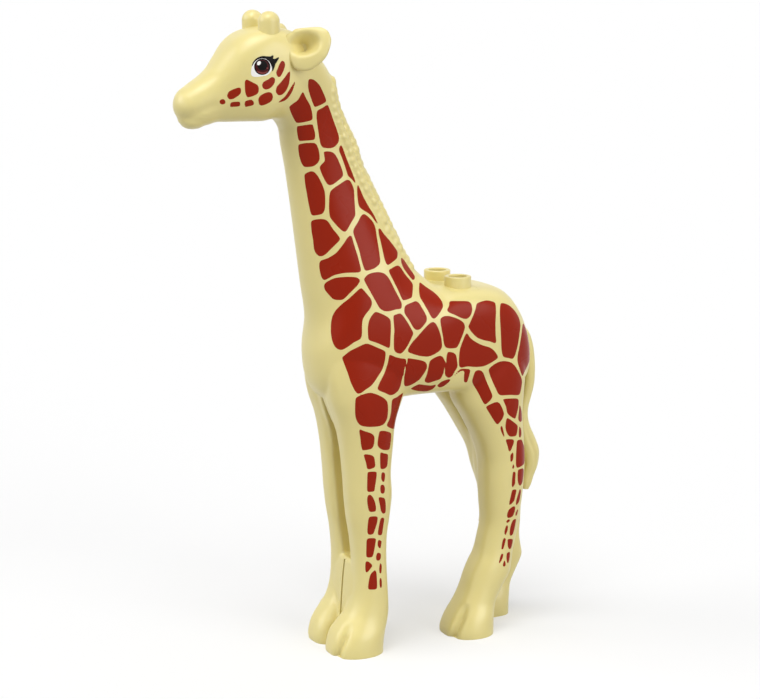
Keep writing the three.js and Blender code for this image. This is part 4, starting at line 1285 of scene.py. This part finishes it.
def skins(body):
    """Both halves of the body, with their spots."""
    shell = combined(body, insert_outline(SEAM), "DIFFERENCE")
    for side, hoof in hooves():
        shell = combined(shell, socket(side, hoof), "DIFFERENCE")
    shell = combined(shell, slit(TONGUE_SHARES, FRONT_HOOF, TONGUE_GROOVE_DEPTH), "DIFFERENCE")
    reach = 2 * BACK_HEIGHT
    halves = []
    for _, side in LEFT_AND_RIGHT:
        space = block((min(0, side * reach), -reach, -reach), (max(0, side * reach), reach, reach))
        halves.append(combined(shell, space, "INTERSECT"))
    points, triangles = joined(halves)
    right = np.arange(len(triangles)) >= len(halves[0][1])
    field = spot_field(points, triangles)
    for name, keep in (("left", ~right), ("right", right)):
        used, part_points, part_triangles = kept(points, triangles[keep])
        new_points, new_triangles, inside, _ = divided(part_points, part_triangles, field[used])
        obj = piece(f"{name}_skin", new_points, new_triangles, [f"{name}_shell"], [TAN, INK], inside)
        sharpened(obj, SKIN_EDGE_ANGLE)


# Eyes, printed on the head with painted highlights and a painted reflection on top, as outlines in the
# photograph's pixels, from the lowest layer up

EYE_COLUMNS = (247, 282)
EYE_ROWS = (53, 80)
EYE_MIDDLE = (262.2, 66.8)
EYE_RIM_RADIUS = 8.2
IRIS_RADIUS = 6.9
PUPIL_MIDDLE = (262.4, 65.6)
PUPIL_RADIUS = 4.9
# The glint, a white ellipse on the pupil, is a painted highlight.
GLINT_MIDDLE = (258.9, 63.1)
GLINT_RADIUS = 2.3
GLINT_TALL_SHARE = 0.75
GLINT_TURN = -0.9
# A small painted highlight in the iris.
HIGHLIGHT_DOT_MIDDLE = (267.2, 68.2)
HIGHLIGHT_DOT_RADIUS = 0.8


def circle(middle, radius, tall=1.0, turn=0.0):
    angle = 2 * np.pi * np.arange(CIRCLE_SIDES) / CIRCLE_SIDES
    x, y = radius * np.cos(angle), radius * tall * np.sin(angle)
    c, s = math.cos(turn), math.sin(turn)
    return np.column_stack([middle[0] + x * c - y * s, middle[1] + x * s + y * c])


WHITE_OUTLINE = [
    (254, 61.5), (252, 66.5), (251, 71), (251.2, 74.6), (253.2, 76.6), (257, 76.8), (262.5, 76.2),
    (267.3, 75), (270.4, 72.3), (272, 68.8), (271.8, 65), (269.8, 61.2), (266, 58.8), (259, 58.5),
]
# The lighter lower crescent of the iris, a painted reflection.
PAINTED_REFLECTION_OUTLINE = [
    (256.7, 70.6), (258.3, 72.7), (262.3, 74), (266.2, 72.9), (268.3, 70.2), (266.2, 71.6), (262.4, 72.4),
    (258.8, 71.5),
]
LID_OUTLINE = [
    (251.7, 66.3), (252.8, 62.6), (255.4, 59.2), (259, 56.9), (263, 56), (267.5, 56.3), (270.6, 56.3),
    (272.9, 55.2), (273.5, 56.6), (273, 58.6), (275.4, 58.7), (278.2, 57.2), (278.9, 58.1), (277.2, 61.2),
    (275.3, 64), (274.6, 66.8), (273, 70.6), (272.3, 71.2), (271.9, 68), (270.8, 64.4), (268.6, 61.2),
    (265.5, 59), (261.5, 58.4), (257.5, 59.7), (254.4, 62.4), (252.5, 65.6),
]
EYE_STEP = 0.5  # pixels
EYE_ROUNDS = 12
EYE_PROUD = 0.04
EYE_THICKNESS = 0.2


def eye_layers():
    # The crescent in the iris, the glint and the dot are painted light: a painted reflection and painted
    # highlights.
    return [
        (rounded_outline(WHITE_OUTLINE), EYE_WHITE_AND_PAINTED_GLINT),
        (circle(EYE_MIDDLE, EYE_RIM_RADIUS), EYE_BLACK),
        (circle(EYE_MIDDLE, IRIS_RADIUS), EYE_BROWN),
        (rounded_outline(PAINTED_REFLECTION_OUTLINE), EYE_PAINTED_REFLECTION),
        (circle(PUPIL_MIDDLE, PUPIL_RADIUS), EYE_BLACK),
        (rounded_outline(LID_OUTLINE), EYE_BLACK),
        (circle(GLINT_MIDDLE, GLINT_RADIUS, GLINT_TALL_SHARE, GLINT_TURN), EYE_WHITE_AND_PAINTED_GLINT),
        (circle(HIGHLIGHT_DOT_MIDDLE, HIGHLIGHT_DOT_RADIUS), EYE_PAINTED_REFLECTION),
    ]


def surface_under(tree, places):
    """Points of a surface under pixels of the photograph."""
    hits = []
    for column, row in places:
        hit = tree.ray_cast(EYE_POINT, sight_line(column, row))[0]
        hits.append(hit if hit is not None else Vector((0, 0, 0)))
    return np.array(hits)


def eyes(points, triangles):
    """The left eye as a thin sheet on the head, and its mirror image."""
    tree = BVHTree.FromPolygons(points.tolist(), triangles.tolist())
    columns = np.arange(*EYE_COLUMNS, EYE_STEP)
    rows = np.arange(*EYE_ROWS, EYE_STEP)
    grid = np.array([(column, row) for row in rows for column in columns])
    spots = surface_under(tree, grid)
    wide = len(columns)
    corner = (np.arange(len(rows) - 1)[:, None] * wide + np.arange(wide - 1)).ravel()
    faces = np.vstack([
        np.column_stack([corner, corner + wide, corner + wide + 1]),
        np.column_stack([corner, corner + wide + 1, corner + 1]),
    ])
    spots = smoothed(spots, faces, EYE_ROUNDS)
    zones = np.full(len(faces), -1)
    materials = [EYE_WHITE_AND_PAINTED_GLINT, EYE_BLACK, EYE_BROWN, EYE_PAINTED_REFLECTION]
    for line, material in eye_layers():
        spots, faces, inside, source = divided(spots, faces, inside_by(pixels(spots), line))
        zones = zones[source]
        zones[inside] = materials.index(material)
    faces, zones = faces[zones >= 0], zones[zones >= 0]
    _, spots, faces = kept(spots, faces)
    spots, faces, zones = thickened(spots, faces, zones, EYE_PROUD, EYE_THICKNESS)
    for name, side in LEFT_AND_RIGHT:
        turned = faces if side > 0 else faces[:, ::-1]
        obj = piece(f"{name}_eye_print", spots * [side, 1, 1], turned, [], materials, zones)
        sharpened(obj, EDGE_ANGLE)


def thickened(points, faces, zones, proud, thickness):
    """A thin closed sheet, a little proud of the surface that it lies on."""
    normals = normals_of(points, faces)
    top = points + normals * proud
    bottom = points + normals * (proud - thickness)
    edges = np.vstack([faces[:, [0, 1]], faces[:, [1, 2]], faces[:, [2, 0]]])
    owners = np.tile(np.arange(len(faces)), 3)
    _, first, counts = np.unique(np.sort(edges, axis=1), axis=0, return_index=True, return_counts=True)
    rim = first[counts == 1]
    a, b = edges[rim].T
    count = len(points)
    walls = np.vstack([
        np.column_stack([b, a, a + count]), np.column_stack([b, a + count, b + count]),
    ])
    all_faces = np.vstack([faces, faces[:, ::-1] + count, walls])
    all_zones = np.concatenate([zones, zones, np.tile(zones[owners[rim]], 2)])
    return np.vstack([top, bottom]), all_faces, all_zones


STUD_SOFTNESS = 0.18
BORE_FLOOR = 0.02


def stud_insert(body):
    plate = combined(body, insert_outline(0), "INTERSECT")
    outer, inner, soft = STUD_DIAMETER / 2, STUD_BORE / 2, STUD_SOFTNESS
    top, low = BACK_HEIGHT + STUD_HEIGHT, BACK_HEIGHT - CUT_RUN
    floor = low + BORE_FLOOR
    quarter = np.linspace(0, math.pi / 2, EDGE_STEPS)
    rim = [(outer - soft + soft * math.cos(a), top - soft + soft * math.sin(a)) for a in quarter]
    lip = [(inner + soft - soft * math.sin(a), top - soft + soft * math.cos(a)) for a in quarter]
    for side in (1, -1):
        centre = (side * STUD_PITCH / 2, 0, 0)
        bore = lathe([(inner, low), (inner, top + CUT_RUN)], centre)
        post = lathe([(outer, low), *rim, *lip, (inner, floor), (POLE_RADIUS, floor)], centre)
        plate = combined(combined(plate, bore, "DIFFERENCE"), post, "UNION")
    sharpened(piece("stud_plate", *plate, ["stud_insert"], [TAN]), EDGE_ANGLE)


HORN_SEAT = on_head(0.155, 0.84)
HORN_DOME_SHARE = 0.95
HORN_FOOT = -2.4
HORN_RADIUS_SHARES = (0.9, 0.94, 0.98)  # at the foot, at the seat and halfway to the dome


def horn(name, side):
    radius = HORN_DIAMETER / 2
    dome = HORN_HEIGHT - radius * HORN_DOME_SHARE
    outline = [(POLE_RADIUS, HORN_FOOT)]
    outline += [
        (radius * share, height) for share, height in zip(HORN_RADIUS_SHARES, (HORN_FOOT, 0, dome / 2))
    ]
    outline += [
        (max(radius * math.cos(a), POLE_RADIUS), dome + radius * HORN_DOME_SHARE * math.sin(a))
        for a in np.linspace(0, math.pi / 2, DOME_STEPS)
    ]
    points, faces = lathe(outline, (side * HORN_SPACING / 2, *HORN_SEAT))
    piece(f"{name}_horn_form", points, faces, [f"{name}_horn"], [TAN])


# Ears

EAR_ROOT = on_head(0.08, 0.776)
EAR_ROOT_X = 0.418 * HEAD_WIDTH
EAR_OUTLINE = [
    # shares of half the length and half the height, seen into the ear
    (-0.70, 0.79), (-0.51, 0.93), (0, 1.0), (0.56, 1.02), (0.88, 0.84), (1.0, 0.47), (0.93, 0.09),
    (0.76, -0.31), (0.48, -0.64), (0.08, -0.93), (-0.28, -1.0), (-0.60, -0.93), (-0.79, -0.65),
    (-0.95, 0), (-1.0, 0.56),
]
EAR_BACK = 2.1
EAR_LOBE = 1.15
EAR_RIM = 0.35
EAR_OUTLINE_STEPS = 6
EAR_POLE_SHARE = 0.02
EAR_FRONT_SHARE = 0.94
EAR_EDGE_SHARE = 0.05
EAR_BACK_ROUNDNESS = 1.2
EAR_BACK_RINGS = 22
EAR_FRONT_RINGS = 44
HOLLOW_MIDDLE = (-0.1, 0.23)
HOLLOW_ANGLE = math.radians(18)
HOLLOW_HALVES = (0.62, 0.45)
HOLLOW_DEPTH = 2.3
HOLLOW_RISE_SHARE = 0.2
HOLLOW_RISE_LIMIT = 1.2
HOLLOW_SOFTNESS = 1.2
HOLLOW_FLATNESS = 1.6
HOLLOW_EDGE_FADE = 5
PIT_MIDDLE = (-0.36, 0.16)
PIT_HALF = 0.25
PIT_DEPTH = 1.3


def ear_axes(side):
    tip = Vector((side * math.cos(EAR_TURN), math.sin(EAR_TURN), 0))
    ahead = Vector((side * math.sin(EAR_TURN), -math.cos(EAR_TURN), 0))
    up = Vector((0, 0, 1))
    mouth = ahead * math.cos(EAR_TILT) + up * math.sin(EAR_TILT)
    rise = up * math.cos(EAR_TILT) - ahead * math.sin(EAR_TILT) + tip * EAR_LEAN_SHARE
    return np.array([tip, rise, mouth])


def ear_front(flat, share):
    """Height of the front of the ear: a soft lobe with a slanting hollow in its upper part."""
    across, up = flat.T
    lobe = EAR_RIM + (EAR_LOBE - EAR_RIM) * (1 - share**2)
    c, s = math.cos(HOLLOW_ANGLE), math.sin(HOLLOW_ANGLE)
    x, y = across - HOLLOW_MIDDLE[0], up - HOLLOW_MIDDLE[1]
    along = (x * c + y * s) / HOLLOW_HALVES[0]
    beside = (y * c - x * s) / HOLLOW_HALVES[1]
    inside = np.exp(-HOLLOW_SOFTNESS * (along**2 + beside**2) ** HOLLOW_FLATNESS)
    inside = inside * np.clip(HOLLOW_EDGE_FADE * (1 - share), 0, 1)
    rise = np.clip(1 - HOLLOW_RISE_SHARE * along, 0, HOLLOW_RISE_LIMIT)
    pit = np.exp(-((across - PIT_MIDDLE[0]) ** 2 + (up - PIT_MIDDLE[1]) ** 2) / PIT_HALF**2)
    return lobe - HOLLOW_DEPTH * rise * inside - PIT_DEPTH * pit


def ear(name, side):
    outline = rounded_outline(EAR_OUTLINE, EAR_OUTLINE_STEPS)
    count = len(outline)
    rings = []
    for share in np.sin(np.linspace(EAR_POLE_SHARE, math.pi / 2, EAR_BACK_RINGS)):
        height = -EAR_BACK * math.sqrt(max(0, 1 - share**2)) ** EAR_BACK_ROUNDNESS
        rings.append(np.column_stack([outline * share, np.full(count, height)]))
    middle = outline.mean(0)
    for turn in np.linspace(0, math.pi / 2, EDGE_STEPS)[1:]:
        flat = middle + (outline - middle) * (1 - EAR_EDGE_SHARE * (1 - math.cos(turn)))
        rings.append(np.column_stack([flat, np.full(count, EAR_RIM * math.sin(turn))]))
    for share in np.linspace(EAR_FRONT_SHARE, EAR_POLE_SHARE, EAR_FRONT_RINGS):
        flat = outline * share
        rings.append(np.column_stack([flat, ear_front(flat, share)]))
    points, faces = skinned(rings)
    points = points * [EAR_LENGTH / 2, EAR_HEIGHT / 2, 1] + [EAR_LENGTH / 2, 0, 0]
    points = points @ ear_axes(side) + [side * EAR_ROOT_X, *EAR_ROOT]
    faces = outward(points, faces)
    piece(f"{name}_ear_form", fitted(points), faces, [f"{name}_ear"], [TAN])


# Tail

TAIL_ROOT = (0.335 * TRUNK_LENGTH, LEG_HEIGHT + 0.49 * TRUNK_DEPTH)
STRAND_SHARES = [
    # behind the root, below it, half thickness and half width of the strand
    [-0.06, -0.02, 0.4, 0.4],
    [-0.01, -0.012, 0.44, 0.44],
    [0.026, 0.03, 0.48, 0.5],
    [0.05, 0.095, 0.5, 0.5],
    [0.063, 0.17, 0.5, 0.5],
    [0.069, 0.25, 0.48, 0.5],
    [0.066, 0.33, 0.46, 0.48],
    [0.05, 0.4, 0.44, 0.46],
    [0.031, 0.465, 0.45, 0.46],
]
TUFT_SHARES = [
    # behind the root, below it, half thickness and half width of the tuft
    [0.022, 0.53, 0.31, 0.31],
    [0.03, 0.6, 0.37, 0.37],
    [0.057, 0.68, 0.45, 0.42],
    [0.08, 0.755, 0.48, 0.44],
    [0.08, 0.83, 0.42, 0.4],
    [0.066, 0.895, 0.34, 0.32],
    [0.058, 0.95, 0.27, 0.26],
    [0.054, 0.985, 0.17, 0.17],
]
TUFT_GROOVES = 5
TUFT_GROOVE_SHARE = 0.1
TUFT_FADE_ROWS = 2
TUFT_WANDER = 0.5
TUFT_WANDER_STEPS = 6


def tail():
    rows = [
        (TAIL_ROOT[0] + back * TAIL_LENGTH, TAIL_ROOT[1] - down * TAIL_LENGTH, thick * size, wide * size)
        for shares, size in ((STRAND_SHARES, TAIL_THICKNESS), (TUFT_SHARES, TUFT_THICKNESS))
        for back, down, thick, wide in shares
    ]
    stations = []
    for row, (y, z, thick, wide) in enumerate(rows):
        before, after = rows[max(row - 1, 0)], rows[min(row + 1, len(rows) - 1)]
        run = math.hypot(after[0] - before[0], after[1] - before[1])
        out_y, out_z = -(after[1] - before[1]) / run, (after[0] - before[0]) / run
        stations.append(station(
            (y + out_y * thick, z + out_z * thick), (y - out_y * thick, z - out_z * thick), wide,
        ))
    rings = []
    angle = 2 * np.pi * np.arange(LEG_SIDES) / LEG_SIDES
    for step in range((len(stations) - 1) * TAIL_STEPS + 1):
        place = step / TAIL_STEPS
        points = ring(between(stations, place), LEG_SIDES)
        low = np.clip((place - len(STRAND_SHARES)) / TUFT_FADE_ROWS, 0, 1)
        wave = np.cos(TUFT_GROOVES * angle + TUFT_WANDER * math.sin(step / TUFT_WANDER_STEPS))
        groove = TUFT_GROOVE_SHARE * low * np.clip(wave, 0, 1) ** 2
        middle = points.mean(0)
        rings.append(middle + (points - middle) * (1 - groove)[:, None])
    points, faces = skinned(rings)
    piece("tail_form", points, faces, ["tail"], [TAN])


# Floor, lamps and background

FLOOR_HALF = 20.0  # metres
WORLD_LIGHT = 0.12
FLOOR_SHADE = 0.5
WHITE = (1, 1, 1, 1)
LAMPS = [
    # name, azimuth, elevation and width in degrees, share of light
    ("left", -22, 25, 40, 0.37),
    ("front", 15, 12, 40, 0.09),
    ("brow", 42, 66, 40, 0.45),
    ("right", 112, 15, 40, 0.47),
    ("back", 150, 40, 40, 0.03),
    ("far", 200, 50, 40, 0.05),
    ("top", 60, 80, 45, 0.24),
]


def shown_rays(tree):
    """A value of 1 for the rays that show the background, and 0 for those that light it."""
    path = tree.nodes.new("ShaderNodeLightPath")
    total = path.outputs["Is Camera Ray"]
    for name in ("Is Glossy Ray", "Is Transmission Ray"):
        either = tree.nodes.new("ShaderNodeMath")
        either.operation = "MAXIMUM"
        tree.links.new(total, either.inputs[0])
        tree.links.new(path.outputs[name], either.inputs[1])
        total = either.outputs[0]
    return total


def make_floor():
    points = np.array([[-1, -1, 0], [1, -1, 0], [1, 1, 0], [-1, 1, 0]]) * FLOOR_HALF
    floor = bpy.data.objects.new("floor", mesh_of("floor", points, [[0, 1, 2, 3]]))
    bpy.context.collection.objects.link(floor)
    material = bpy.data.materials.new("floor")
    material.use_nodes = True
    tree = material.node_tree
    tree.nodes.clear()
    matt = node(tree, "ShaderNodeBsdfDiffuse", Color=(FLOOR_SHADE, FLOOR_SHADE, FLOOR_SHADE, 1))
    glow = node(tree, "ShaderNodeEmission", Color=WHITE)
    lift = tree.nodes.new("ShaderNodeMath")
    lift.operation = "MULTIPLY"
    on_floor = WORLD_LIGHT + sum(row[4] * math.sin(math.radians(row[2])) for row in LAMPS)
    lift.inputs[1].default_value = 1 - FLOOR_SHADE * on_floor
    tree.links.new(shown_rays(tree), lift.inputs[0])
    tree.links.new(lift.outputs[0], glow.inputs["Strength"])
    both = tree.nodes.new("ShaderNodeAddShader")
    tree.links.new(matt.outputs[0], both.inputs[0])
    tree.links.new(glow.outputs[0], both.inputs[1])
    out = tree.nodes.new("ShaderNodeOutputMaterial")
    tree.links.new(both.outputs[0], out.inputs["Surface"])
    floor.data.materials.append(material)


def make_world():
    world = bpy.data.worlds.new("world")
    bpy.context.scene.world = world
    world.use_nodes = True
    tree = world.node_tree
    tree.nodes.clear()
    strength = node(tree, "ShaderNodeMapRange", To_Min=WORLD_LIGHT, To_Max=1.0)
    tree.links.new(shown_rays(tree), strength.inputs["Value"])
    light = node(tree, "ShaderNodeBackground", Color=WHITE)
    tree.links.new(strength.outputs["Result"], light.inputs["Strength"])
    out = tree.nodes.new("ShaderNodeOutputWorld")
    tree.links.new(light.outputs[0], out.inputs["Surface"])


def lamp(name, azimuth, elevation, width, share):
    """A wide soft light from far away. Its share of light is that of a white surface
    turned to it, where 1 is white."""
    data = bpy.data.lights.new(name, "SUN")
    data.angle = math.radians(width)
    data.energy = share * math.pi
    obj = bpy.data.objects.new(name, data)
    a, e = math.radians(azimuth), math.radians(elevation)
    back = Vector((math.sin(a) * math.cos(e), -math.cos(a) * math.cos(e), math.sin(e)))
    obj.location = (cad_low + cad_high) / 2 + back * DISTANCE * MM
    obj.rotation_mode = "QUATERNION"
    obj.rotation_quaternion = (-back).to_track_quat("-Z", "Y")
    bpy.context.collection.objects.link(obj)


def make_lamps():
    for row in LAMPS:
        lamp(*row)


body = whole_body()
skins(body)
eyes(*body)
stud_insert(body)
for name, side in LEFT_AND_RIGHT:
    horn(name, side)
    ear(name, side)
tail()
make_floor()
make_world()
make_lamps()
make_camera()
bpy.context.scene.view_settings.view_transform = "Standard"
